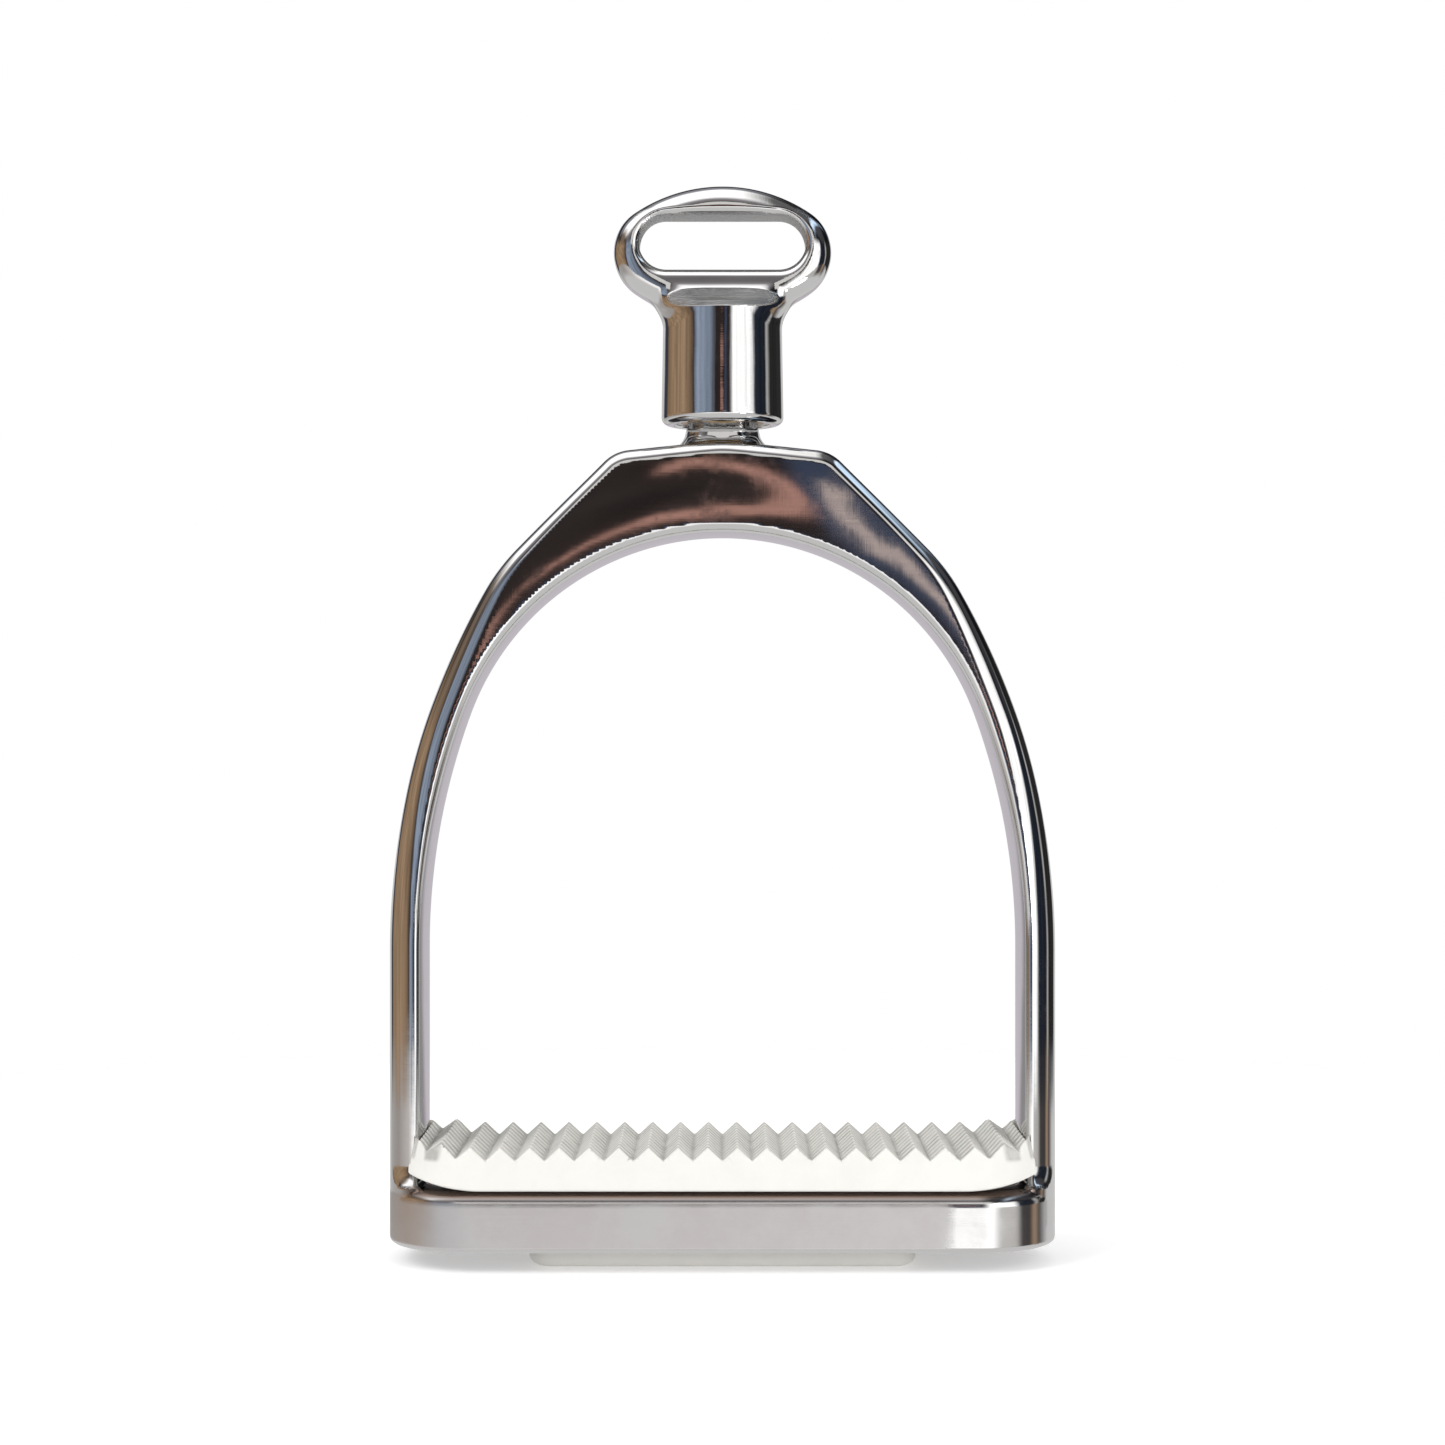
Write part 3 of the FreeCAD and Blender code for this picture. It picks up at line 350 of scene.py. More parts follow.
def body_field(bow, ring):
    """Bow, ring, neck and stud as one casting."""
    ring_half_x = mm(BODY_HIGH.x)
    ring_half_y = mm(BODY_HIGH.y)
    ring_low = mm(BODY_LOW.z)
    ring_top = ring_low + mm(ring.height)
    tray_low = ring_low + mm(ring.tray_floor)
    stud_top = mm(BODY_HIGH.z)
    shoulder = stud_top - mm(bow.stud_length)
    neck_start = mm(EYE_LOW.z) - 0.5
    arm_end = mm(bow.spring)
    dome_reach = mm(bow.dome_reach)
    neck_foot = mm(bow.neck_foot)
    corner = mm(ring.corner)
    opening = opening_chain(bow)
    back = back_chain(bow, ring_half_x)
    half_depth = mm(bow.depth) / 2
    sweep = mm(bow.foot_sweep)
    flush_skin, skin_run = 0.3, 1.5     # depth under the wall without a fillet, and its run-in

    def field(x, y, z):
        soft_x = np.hypot(x, mm(bow.ridge_radius))
        flat_x = np.abs(x)
        side_x = flat_x + (soft_x - flat_x) * smooth_step(
            z, mm(bow.ridge_start), mm(bow.ridge_end))
        convex = end_curve(y, ring_half_y, corner)
        convex = convex * (1.0 - smooth_step(z, arm_end, mm(bow.round_back_end)))
        outside = back.distance(side_x, z) + convex
        into = np.clip(ring_top + sweep - z, 0.0, sweep)
        foot = sweep - np.sqrt(np.maximum(sweep ** 2 - into ** 2, 0.0))
        inward = opening.distance(flat_x, z)
        dome = (inward - mm(bow.dome_middle)) ** 2 / (2 * mm(bow.dome_radius))
        fall = 1.0 - np.exp(-(x / dome_reach) ** 2)
        dome = dome + dome_reach ** 2 * fall / (2 * mm(bow.dome_length))
        dome = dome * smooth_step(z, mm(bow.dome_start), mm(bow.dome_end))
        across = np.abs(y) - half_depth - foot + dome
        plan = rounded_box(x, y, ring_half_x, ring_half_y, corner)
        fade = smooth_step(z, mm(bow.crisp_start), mm(bow.crisp_end))
        edge_round = mm(bow.outer_round) * (1.0 - fade) + mm(bow.crown_round) * fade
        bow_part = meet_round(outside, across, edge_round)
        bow_part = np.maximum(bow_part, plan)
        swell = mm(bow.inner_swell) * (1.0 - (y / half_depth) ** 2)
        bow_part = cut_round(bow_part, inward + swell, mm(bow.inner_round))
        bow_part = np.maximum(bow_part, tray_low - z)

        middle = (ring_low + ring_top) / 2
        edge = np.where(z > middle, mm(ring.top_round), mm(ring.low_round))
        ring_part = meet_round(plan, np.abs(z - middle) - (ring_top - ring_low) / 2, edge)
        tray = rounded_box(
            x, y, mm(ring.tray_half_length), mm(ring.tray_half_width), mm(ring.tray_corner))
        tray = meet_round(tray, tray_low - z, mm(ring.tray_round))
        ring_part = cut_round(ring_part, tray, mm(ring.rim_round))
        slot = rounded_box(
            x, y, mm(ring.slot_half_length), mm(ring.slot_half_width), mm(ring.slot_corner))
        ring_part = cut_round(ring_part, slot, mm(ring.slot_round))
        # no fillet at the outer wall, where arm and ring are flush
        blend = mm(ring.arm_fillet) * np.clip((-plan - flush_skin) / skin_run, 0.02, 1.0)
        solid = join_round(bow_part, ring_part, blend)

        r = np.hypot(x, y)
        wider = bow.neck_slope * np.clip(
            neck_start - z, 0.0, mm(bow.neck_flare) / bow.neck_slope)
        neck = r - mm(bow.neck_radius) - wider
        lean = bow.neck_flat_slope * (neck_start - z)
        flat = np.abs(y) - mm(bow.neck_flat) - lean + x ** 2 / (2 * mm(bow.neck_flat_bulge))
        neck = meet_round(neck, flat, 0.8)
        neck = np.maximum(neck, np.maximum(neck_foot - z, z - shoulder))
        fillet = mm(bow.neck_fillet) * (0.3 + 0.7 * np.minimum(flat_x / np.maximum(r, 0.1), 1.0))
        solid = join_round(solid, neck, fillet)
        stud = meet_round(r - mm(bow.stud_radius), z - stud_top, mm(bow.stud_round))
        stud = np.maximum(stud, neck_foot - 1.0 - z)
        return np.minimum(solid, stud)

    return field


def eye_field(eye):
    """Loop, barrel and blind bore as one casting."""
    centre = mm(eye.loop_centre)
    half = mm(eye.loop_half)
    end_r = mm(eye.loop_end_radius)
    rise = mm(EYE_HIGH.z) - centre
    end_x = half - end_r
    flat_r = (end_x ** 2 + rise ** 2 - end_r ** 2) / (2 * (rise - end_r))
    drop = flat_r - rise
    mouth = mm(EYE_LOW.z)
    top = mm(eye.barrel_top)
    slot_low = mm(eye.slot_centre - eye.slot_radius)

    def field(x, y, z):
        flat_x = np.abs(x)
        flat_z = np.abs(z - centre)
        round_end = np.hypot(flat_x - end_x, flat_z) - end_r
        flat_side = np.hypot(flat_x, flat_z + drop) - flat_r
        at_end = end_x * (flat_z + drop) - drop * flat_x < 0.0
        oval = np.where(at_end, round_end, flat_side)
        below = slot_low - z
        flare = eye.flare_slope * (below + np.hypot(below, mm(eye.flare_soft))) / 2
        loop = meet_round(oval, np.abs(y) - mm(eye.loop_depth) / 2 - flare, mm(eye.loop_round))
        r = np.hypot(x, y)
        slant = (z - mouth) / (top - mouth)
        side = mm(eye.barrel_low_radius) * (1 - slant) + mm(eye.barrel_high_radius) * slant
        barrel = meet_round(r - side, z - top, mm(eye.barrel_round))
        barrel = meet_round(barrel, mouth - z, mm(eye.mouth_round))
        solid = join_round(loop, barrel, mm(eye.saddle))
        slot_r = mm(eye.slot_radius)
        slot = np.hypot(
            np.maximum(flat_x - (mm(eye.slot_half) - slot_r), 0.0), z - mm(eye.slot_centre))
        solid = cut_round(solid, slot - slot_r, mm(eye.slot_round))
        bore = np.maximum(r - mm(eye.bore_radius), z - mm(eye.bore_top))
        return cut_round(solid, bore, mm(eye.bore_round))

    return field


def pad_field(pad, bow):
    """Ribbed pad with curled ends, arm notches and plug."""
    low = mm(PAD_HIGH.z) - mm(pad.ridge_height) - mm(pad.thickness)
    pitch = mm(pad.ridge_pitch)
    arm_face = mm(bow.inside_half) - mm(pad.notch_gap)
    notch_half = mm(bow.depth) / 2 + mm(pad.notch_gap)
    bend = 1.6          # how quickly the ends curl up
    steep = 0.78        # height to distance, on the ridges' flanks

    def field(x, y, z):
        flat_x = np.abs(x)
        reach = np.clip((flat_x - mm(pad.lift_start)) / mm(pad.lift_run), 0.0, None)
        height = z - mm(pad.lift) * reach ** bend * (z > low - 2.0)
        end_half = mm(pad.half_length) - pad.end_slope * np.clip(z - low, 0.0, None)
        plan = rounded_box(x, y, end_half, mm(pad.half_depth), mm(pad.corner))
        ridge = np.abs((x / pitch) % 1.0 - 0.5) * 2.0
        tooth = mm(pad.ridge_height) * (1.0 - ridge)
        tooth = np.minimum(tooth, mm(pad.ridge_height - pad.crest_flat))
        row = np.abs((y / mm(pad.serration_pitch)) % 1.0 - 0.5) * mm(pad.serration_pitch)
        notch = mm(pad.serration_depth) * np.clip(1.0 - row / mm(pad.serration_half), 0.0, 1.0)
        surface = low + mm(pad.thickness) + tooth - notch
        slab = meet_round(plan, (height - surface) * steep, mm(pad.top_round))
        slab = meet_round(slab, low - height, mm(pad.low_round))
        recess = np.maximum(arm_face - flat_x, np.abs(y) - notch_half)
        slab = cut_round(slab, recess, mm(pad.notch_round))
        plug = rounded_box(
            x, y, mm(pad.plug_half_length), mm(pad.plug_half_width), mm(pad.plug_corner))
        plug = meet_round(plug, -z, mm(pad.plug_round))
        plug = np.maximum(plug, z - low - 1.0)
        return np.minimum(slab, plug)

    return field


# ---------------------------------------------------------------- meshing
# Cells in millimetres, as small as the limit on triangles allows.
BODY_CELL, EYE_CELL, PAD_CELL = 0.64, 0.36, 0.37
PAD_ADAPTIVITY = 0.003          # larger faces on the pad's flat sides


def gradient(field, points, step=0.02):
    """Unit outward direction of the field at each point."""
    columns = []
    for axis in range(3):
        shift = np.zeros(3)
        shift[axis] = step
        after = field(*(points + shift).T)
        before = field(*(points - shift).T)
        columns.append(after - before)
    slope = np.stack(columns, axis=1)
    size = np.linalg.norm(slope, axis=1, keepdims=True)
    return slope / np.maximum(size, 1e-9), size[:, 0] / (2 * step)


def mesh_from_field(name, field, low, high, cell, adaptivity=0.0):
    """A mesh of the field's surface with vertices and normals from the exact field."""
    margin = 2.5 * cell
    start = np.array(low) / MM - margin
    count = np.ceil((np.array(high) / MM + margin - start) / cell).astype(int) + 1
    axes = [start[i] + cell * np.arange(count[i]) for i in range(3)]
    x, y, z = np.meshgrid(*axes, indexing="ij", sparse=True)
    values = np.clip(field(x, y, z), -3 * cell, 3 * cell).astype(np.float32)
    grid = openvdb.FloatGrid(3 * cell)
    grid.copyFromArray(np.ascontiguousarray(values), (0, 0, 0), 1e-6)
    points, triangles, quads = grid.convertToPolygons(0.0, adaptivity)
    points = points.astype(float) * cell + start
    for _ in range(3):
        outward, steepness = gradient(field, points)
        error = field(*points.T) / np.maximum(steepness, 0.3)
        points -= outward * np.clip(error, -0.5 * cell, 0.5 * cell)[:, None]
    mesh = bpy.data.meshes.new(name)
    mesh.from_pydata((points * MM).tolist(), [], quads.tolist() + triangles.tolist())
    mesh.validate()
    mesh.update()
    outward, _ = gradient(field, np.array([v.co for v in mesh.vertices]) / MM)
    mesh.polygons.foreach_set("use_smooth", [True] * len(mesh.polygons))
    mesh.normals_split_custom_set_from_vertices(outward.tolist())
    thing = bpy.data.objects.new(name, mesh)
    bpy.context.scene.collection.objects.link(thing)
    return thing


# ---------------------------------------------------------------- node helpers
def feed(tree, node, inputs):
    """Link each input that is given as a socket and set each one that is given as a value."""
    for key, value in inputs.items():
        if isinstance(value, bpy.types.NodeSocket):
            tree.links.new(value, node.inputs[key])
        else:
            node.inputs[key].default_value = value


def add(tree, kind, inputs=None, **settings):
    """A node with its settings and its inputs."""
    made = tree.nodes.new(kind)
    for key, value in settings.items():
        setattr(made, key, value)
    feed(tree, made, inputs or {})
    return made


def math_node(tree, operation, *values):
    made = add(tree, "ShaderNodeMath", dict(enumerate(values)), operation=operation)
    return made.outputs[0]


def times(tree, first, second):
    return math_node(tree, "MULTIPLY", first, second)


def absolute(tree, value):
    return math_node(tree, "ABSOLUTE", value)


def split_xyz(tree, vector):
    """The X, Y and Z sockets of a vector."""
    return add(tree, "ShaderNodeSeparateXYZ", {0: vector}).outputs


def hypotenuse(tree, first, second):
    squares = [math_node(tree, "POWER", value, 2.0) for value in (first, second)]
    return math_node(tree, "SQRT", math_node(tree, "ADD", *squares))


def grey(tree, value):
    return add(tree, "ShaderNodeCombineColor", {0: value, 1: value, 2: value}).outputs[0]


def tint(tree, first, second):
    """Two colours multiplied."""
    made = add(tree, "ShaderNodeMix", {0: 1.0, 6: first, 7: second},
               data_type="RGBA", blend_type="MULTIPLY")
    return made.outputs[2]


def ramp(tree, fac, low, high, from_value=0.0, to_value=1.0):
    """A smooth change from from_value to to_value as fac goes from low to high."""
    made = add(tree, "ShaderNodeMapRange", {
        "Value": fac, "From Min": low, "From Max": high, "To Min": from_value, "To Max": to_value,
    }, interpolation_type="SMOOTHSTEP")
    return made.outputs[0]


def mix_colour(tree, fac, first, second):
    made = add(tree, "ShaderNodeMix", {0: fac, 6: first, 7: second}, data_type="RGBA")
    return made.outputs[2]


def noise(tree, vector, scale, detail=3.0, roughness=0.55):
    made = add(tree, "ShaderNodeTexNoise", {
        "Vector": vector, "Scale": scale, "Detail": detail, "Roughness": roughness})
    return made.outputs[0]


def stretched(tree, vector, scale):
    made = add(tree, "ShaderNodeMapping", {"Vector": vector, "Scale": scale})
    return made.outputs[0]


def new_group(name, inputs, outputs):
    """An empty shader node group with named float sockets."""
    group = bpy.data.node_groups.new(name, "ShaderNodeTree")
    for label, default in inputs:
        socket = group.interface.new_socket(label, in_out="INPUT", socket_type="NodeSocketFloat")
        socket.default_value = default
    for label in outputs:
        group.interface.new_socket(label, in_out="OUTPUT", socket_type="NodeSocketFloat")
    return group, group.nodes.new("NodeGroupInput"), group.nodes.new("NodeGroupOutput")


def place(tree, group, **inputs):
    """A group node in a material, with its own values."""
    made = tree.nodes.new("ShaderNodeGroup")
    made.node_tree = group
    for key, value in inputs.items():
        made.inputs[key.replace("_", " ")].default_value = value
    return made


def position(tree):
    return add(tree, "ShaderNodeTexCoord").outputs["Object"]


def polish_group():
    """Hand polishing: long soft waves, hairlines that run round the piece, and dull smears."""
    group, given, put = new_group(
        "Hand polish",
        [("Wave", 1.0), ("Hairline", 1.0), ("Roughness", 0.07)],
        ["Height", "Roughness"])
    where = position(group)
    wave = noise(group, where, 55.0, 1.0)
    fine_wave = noise(group, where, 170.0, 2.0)
    along_x = noise(group, stretched(group, where, (60.0, 900.0, 2600.0)), 1.0, 2.0, 0.7)
    along_z = noise(group, stretched(group, where, (2400.0, 900.0, 70.0)), 1.0, 2.0, 0.7)
    waves = math_node(group, "MULTIPLY_ADD", fine_wave, 0.08, wave)
    waves = times(group, waves, given.outputs["Wave"])
    hair = math_node(group, "ADD", along_x, along_z)
    hair = times(group, hair, given.outputs["Hairline"])
    height = math_node(group, "MULTIPLY_ADD", hair, 0.007, waves)
    smear = ramp(group, noise(group, where, 120.0, 4.0, 0.7), 0.5, 0.75, 0.0, 0.07)
    rough = math_node(group, "MULTIPLY_ADD", along_x, 0.04, given.outputs["Roughness"])
    rough = math_node(group, "ADD", rough, smear)
    feed(group, put, {"Height": height, "Roughness": rough})
    return group


def brushed_group():
    """Satin grinding marks that run round the ring, with blotches."""
    group, given, put = new_group("Satin grinding", [("Strength", 1.0)], ["Height", "Blotch"])
    where = position(group)
    lines = noise(group, stretched(group, where, (35.0, 35.0, 5200.0)), 1.0, 4.0, 0.8)
    coarse = noise(group, stretched(group, where, (14.0, 14.0, 900.0)), 1.0, 3.0, 0.6)
    height = math_node(group, "MULTIPLY_ADD", coarse, 0.5, lines)
    height = times(group, height, given.outputs["Strength"])
    blotch = ramp(group, noise(group, where, 90.0, 5.0, 0.65), 0.35, 0.7)
    feed(group, put, {"Height": height, "Blotch": blotch})
    return group


def grain_group():
    """Grain of an as-cast or moulded surface, with small pits."""
    group, given, put = new_group("Cast grain", [("Scale", 900.0)], ["Height", "Pits"])
    where = position(group)
    grain = add(group, "ShaderNodeTexNoise", {
        "Vector": where, "Scale": given.outputs["Scale"], "Detail": 5.0, "Roughness": 0.7})
    cells = add(group, "ShaderNodeTexVoronoi", {"Vector": where, "Scale": given.outputs["Scale"]})
    pits = ramp(group, cells.outputs["Distance"], 0.05, 0.3)
    height = math_node(group, "MULTIPLY_ADD", pits, 0.4, grain.outputs[0])
    feed(group, put, {"Height": height, "Pits": pits})
    return group


def new_material(name):
    material = bpy.data.materials.new(name)
    material.use_nodes = True
    return material, material.node_tree, material.node_tree.nodes["Principled BSDF"]


def rgba(value, strength=1.0):
    return tuple(channel * strength for channel in value) + (1.0,)


def bump(tree, height, strength, distance, normal=None):
    inputs = {"Height": height, "Strength": strength, "Distance": distance}
    if normal is not None:
        inputs["Normal"] = normal
    return add(tree, "ShaderNodeBump", inputs).outputs[0]


def body_steel(finish, groups, bow, ring_top):
    """Mirror-polished bow, with the ring's wall and the foot of each arm left satin."""
    arm_face, arm_side = bow.inside_half, bow.depth / 2
    polish_from, polish_to = 0.0460, 0.0520
    material, tree, shader = new_material("bow_polished_steel")
    where = position(tree)
    split = split_xyz(tree, where)
    face = split_xyz(tree, add(tree, "ShaderNodeNewGeometry").outputs["Normal"])
    upright = ramp(tree, absolute(tree, face["Z"]), 0.12, 0.45, 1.0, 0.0)
    # one end of the wall was polished further than the rest
    polished_end = ramp(
        tree, math_node(tree, "MULTIPLY_ADD", noise(tree, where, 60.0), 0.008, split["X"]),
        polish_from, polish_to, 1.0, 0.05)
    upright = times(tree, upright, polished_end)
    wall = ramp(tree, split["Z"], ring_top - 0.0022, ring_top - 0.0008, 1.0, 0.0)
    worn = noise(tree, where, 80.0, 3.0)
    foot_height = math_node(tree, "MULTIPLY_ADD", worn, 0.018, split["Z"])
    foot = ramp(tree, foot_height, ring_top + 0.002, ring_top + 0.022, 0.22, 0.0)
    satin = math_node(tree, "MAXIMUM", times(tree, wall, upright), foot)
    # painted shade: the land and the rounded edge beside the pad are painted dark, in place of the
    # shadowed underside of the pad mirrored there
    film_and_painted_shade = times(
        tree, ramp(tree, split["Z"], ring_top - 0.0020, ring_top - 0.0009),
        ramp(tree, split["Z"], ring_top + 0.0002, ring_top + 0.0012, 1.0, 0.0))
    off_arm = math_node(
        tree, "MAXIMUM",
        ramp(tree, absolute(tree, split["Y"]), arm_side - 0.0002, arm_side + 0.0020),
        ramp(tree, absolute(tree, split["X"]), arm_face - 0.0022, arm_face - 0.0002, 1.0, 0.0))
    film_and_painted_shade = times(tree, film_and_painted_shade, off_arm)
    polish = place(
        tree, groups["Hand polish"], Wave=0.35, Hairline=0.5, Roughness=finish.steel_roughness)
    brushed = place(tree, groups["Satin grinding"], Strength=1.0)
    satin_rough = math_node(
        tree, "MULTIPLY_ADD", brushed.outputs["Blotch"], 0.10, finish.satin_roughness)
    rough = add(tree, "ShaderNodeMix", {0: satin, 2: polish.outputs["Roughness"], 3: satin_rough})
    warm_dull = tuple(finish.steel_dull[i] * (0.93, 0.905, 0.90)[i] for i in range(3))
    blotchy = mix_colour(tree, brushed.outputs["Blotch"], rgba(warm_dull), rgba(finish.steel_dull))
    steel = mix_colour(tree, satin, rgba(finish.steel), blotchy)
    height = times(tree, brushed.outputs["Height"], satin)
    first = bump(tree, polish.outputs["Height"], 0.35, 0.0006)
    feed(tree, shader, {
        "Base Color": mix_colour(tree, film_and_painted_shade, steel, rgba(finish.film_and_painted_shade)),
        "Roughness": math_node(tree, "MULTIPLY_ADD", film_and_painted_shade, 0.12, rough.outputs[0]),
        "Metallic": 1.0,
        "Normal": bump(tree, height, 0.16, 0.00012, first),
    })
    return material


def eye_steel(finish, groups, eye):
    """Mirror-polished eye whose slot keeps its cast grain."""
    rim = eye.loop_depth / 2
    hollow_half_width, hollow_half_height = 0.0112, 0.0021
    hollow_centre = eye.barrel_top + 0.0009
    material, tree, shader = new_material("eye_polished_steel")
    where = position(tree)
    split = split_xyz(tree, where)
    face = split_xyz(tree, add(tree, "ShaderNodeNewGeometry").outputs["Normal"])
    above = ramp(tree, split["Z"], eye.slot_centre - 0.002, eye.slot_centre + 0.001)
    below_top = ramp(tree, split["Z"], eye.slot_centre + eye.slot_radius + 0.0008,
                     eye.slot_centre + eye.slot_radius + 0.002, 1.0, 0.0)
    off_front = ramp(tree, absolute(tree, split["Y"]), rim - 0.0019, rim - 0.0005, 1.0, 0.0)
    outside = ramp(tree, absolute(tree, split["X"]),
                   eye.slot_half, eye.slot_half + 0.002, 1.0, 0.0)
    down = ramp(tree, face["Z"], -0.2, 0.3, 1.0, 0.25)
    cast = above
    for mask in (below_top, off_front, outside, down):
        cast = times(tree, cast, mask)
    # the hollow between barrel and loop keeps its grinding marks
    hollow_x = math_node(tree, "DIVIDE", split["X"], hollow_half_width)
    hollow_z = math_node(tree, "DIVIDE", math_node(
        tree, "SUBTRACT", split["Z"], hollow_centre), hollow_half_height)
    hollow = math_node(
        tree, "ADD", math_node(tree, "POWER", absolute(tree, hollow_x), 4.0),
        math_node(tree, "POWER", hollow_z, 2.0))
    hollow = ramp(tree, hollow, 0.75, 1.1, 1.0, 0.0)
    grain = place(tree, groups["Cast grain"], Scale=1500.0)
    polish = place(
        tree, groups["Hand polish"], Wave=1.3, Hairline=3.0, Roughness=finish.steel_roughness)
    brushed = place(tree, groups["Satin grinding"], Strength=1.0)
    cast_rough = math_node(tree, "MULTIPLY_ADD", grain.outputs["Pits"], 0.2, 0.38)
    rough = add(tree, "ShaderNodeMix", {0: cast, 2: polish.outputs["Roughness"], 3: cast_rough})
    rough = add(tree, "ShaderNodeMix", {0: hollow, 2: rough.outputs[0], 3: 0.30})
    dark = mix_colour(
        tree, grain.outputs["Pits"], rgba(finish.steel, 0.35), rgba(finish.steel, 0.8))
    shade = mix_colour(tree, cast, rgba(finish.steel), dark)
    ground = mix_colour(
        tree, brushed.outputs["Blotch"], rgba(finish.steel, 0.36), rgba(finish.steel, 0.62))
    height = times(tree, grain.outputs["Height"], cast)
    marks = times(tree, brushed.outputs["Height"], hollow)
    height = math_node(tree, "MULTIPLY_ADD", marks, 0.5, height)
    first = bump(tree, polish.outputs["Height"], 0.35, 0.0005)
    feed(tree, shader, {
        "Base Color": mix_colour(tree, hollow, shade, ground),
        "Roughness": rough.outputs[0],
        "Metallic": 1.0,
        "Normal": bump(tree, height, 0.9, 0.0004, first),
    })
    return material


def turned_metal(name, colour_value, roughness, groups, scale=1.0):
    """Machined metal of the bearing pieces, with turning marks and a film of old oil."""
    material, tree, shader = new_material(name)
    where = position(tree)
    split = split_xyz(tree, where)
    radius = hypotenuse(tree, split["X"], split["Y"])
    marks = add(tree, "ShaderNodeTexNoise", {
        "W": times(tree, radius, 5000.0 * scale), "Scale": 1.0, "Detail": 3.0,
    }, noise_dimensions="1D")
    grain = place(tree, groups["Cast grain"], Scale=700.0)
    film_and_painted_shade = ramp(tree, noise(tree, where, 260.0, 4.0), 0.4, 0.7)
    first = bump(tree, marks.outputs[0], 0.3, 0.00008)
    feed(tree, shader, {
        "Base Color": mix_colour(tree, film_and_painted_shade, rgba(colour_value, 0.62), rgba(colour_value)),
        "Roughness": math_node(tree, "MULTIPLY_ADD", film_and_painted_shade, -0.12, roughness),
        "Metallic": 1.0,
        "Normal": bump(tree, grain.outputs["Height"], 0.1, 0.00005, first),
    })
    return material


def nylon_material(finish, groups):
    material, tree, shader = new_material("disc_natural_nylon")
    grain = place(tree, groups["Cast grain"], Scale=500.0)
    pits = grain.outputs["Pits"]
    feed(tree, shader, {
        "Base Color": mix_colour(tree, pits, rgba(finish.nylon, 0.85), rgba(finish.nylon)),
        "Roughness": 0.5,
        "Normal": bump(tree, grain.outputs["Height"], 0.2, 0.0001),
    })
    return material


def rubber_material(finish, groups, pad):
    """Matt moulded rubber: the grooves and valleys painted darker, partly as dust and partly as
    painted shade, faint scuffs on the ridges.
    """
    material, tree, shader = new_material("pad_offwhite_rubber")
    where = position(tree)
    split = split_xyz(tree, where)
    rows = math_node(tree, "ADD", split["Y"], pad.serration_pitch / 2)
    rows = math_node(tree, "PINGPONG", rows, pad.serration_pitch / 2)
    groove = ramp(tree, rows, 0.0005, 0.0011, 1.0, 0.0)
    ribs = math_node(tree, "PINGPONG", split["X"], pad.ridge_pitch / 2)
    valley = ramp(tree, ribs, 0.0, 0.0008, 1.0, 0.0)
    top = ramp(tree, split["Z"], PAD_HIGH.z - pad.ridge_height - 0.0006,
               PAD_HIGH.z - pad.ridge_height + 0.0004)
    wall = pad.half_depth
    inside = ramp(tree, absolute(tree, split["Y"]), wall - 0.0010, wall - 0.0004, 1.0, 0.0)
    top = times(tree, top, inside)
    patches = ramp(tree, noise(tree, where, 140.0, 5.0, 0.6), 0.38, 0.72)
    # painted shade with a little dust: the cross grooves and the valleys between the ridges on the
    # top are painted darker
    dust_and_painted_shade = times(tree, math_node(tree, "MAXIMUM", groove, valley), top)
    dust_and_painted_shade = times(tree, dust_and_painted_shade, math_node(tree, "MULTIPLY_ADD", patches, 0.40, 0.50))
    specks = ramp(tree, noise(tree, where, 1500.0, 3.0, 0.7), 0.70, 0.80, 0.0, 0.25)
    base = mix_colour(tree, patches, rgba(finish.rubber), rgba(finish.rubber, 0.965))
    base = mix_colour(tree, dust_and_painted_shade, base, rgba(finish.rubber_grime_and_shade))
    base = mix_colour(tree, specks, base, rgba(finish.rubber_grime_and_shade, 0.9))
    grain = place(tree, groups["Cast grain"], Scale=1100.0)
    first = bump(tree, times(tree, groove, top), 0.8, -0.00035)
    feed(tree, shader, {
        "Base Color": base,
        "Roughness": math_node(tree, "MULTIPLY_ADD", patches, 0.12, 0.62),
        "Specular IOR Level": 0.35,
        "Subsurface Weight": 0.12,
        "Subsurface Radius": (0.0012, 0.0010, 0.0008),
        "Subsurface Scale": 1.0,
        "Normal": bump(tree, grain.outputs["Height"], 0.25, 0.00012, first),
    })
    return material


def shared_groups():
    """The three shared effects, built once."""
    makers = {
        "Hand polish": polish_group, "Satin grinding": brushed_group, "Cast grain": grain_group}
    return {name: bpy.data.node_groups.get(name) or make() for name, make in makers.items()}


def wear(piece, material):
    piece.data.materials.clear()
    piece.data.materials.append(material)


# ---------------------------------------------------------------- operators
class STIRRUP_OT_body(bpy.types.Operator):
    """Mesh the bow and ring casting and give it its polished and satin steel"""
    bl_idname = "stirrup.body"
    bl_label = "Bow and ring"

    def execute(self, context):
        scene = context.scene
        bow, ring = scene.stirrup_bow, scene.stirrup_ring
        piece = mesh_from_field(
            "stirrup_body_casting", body_field(bow, ring), BODY_LOW, BODY_HIGH, BODY_CELL)
        ring_top = BODY_LOW.z + ring.height
        wear(piece, body_steel(scene.stirrup_finishes, shared_groups(), bow, ring_top))
        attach(piece, "iron")
        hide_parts("stirrup_body")
        return {"FINISHED"}


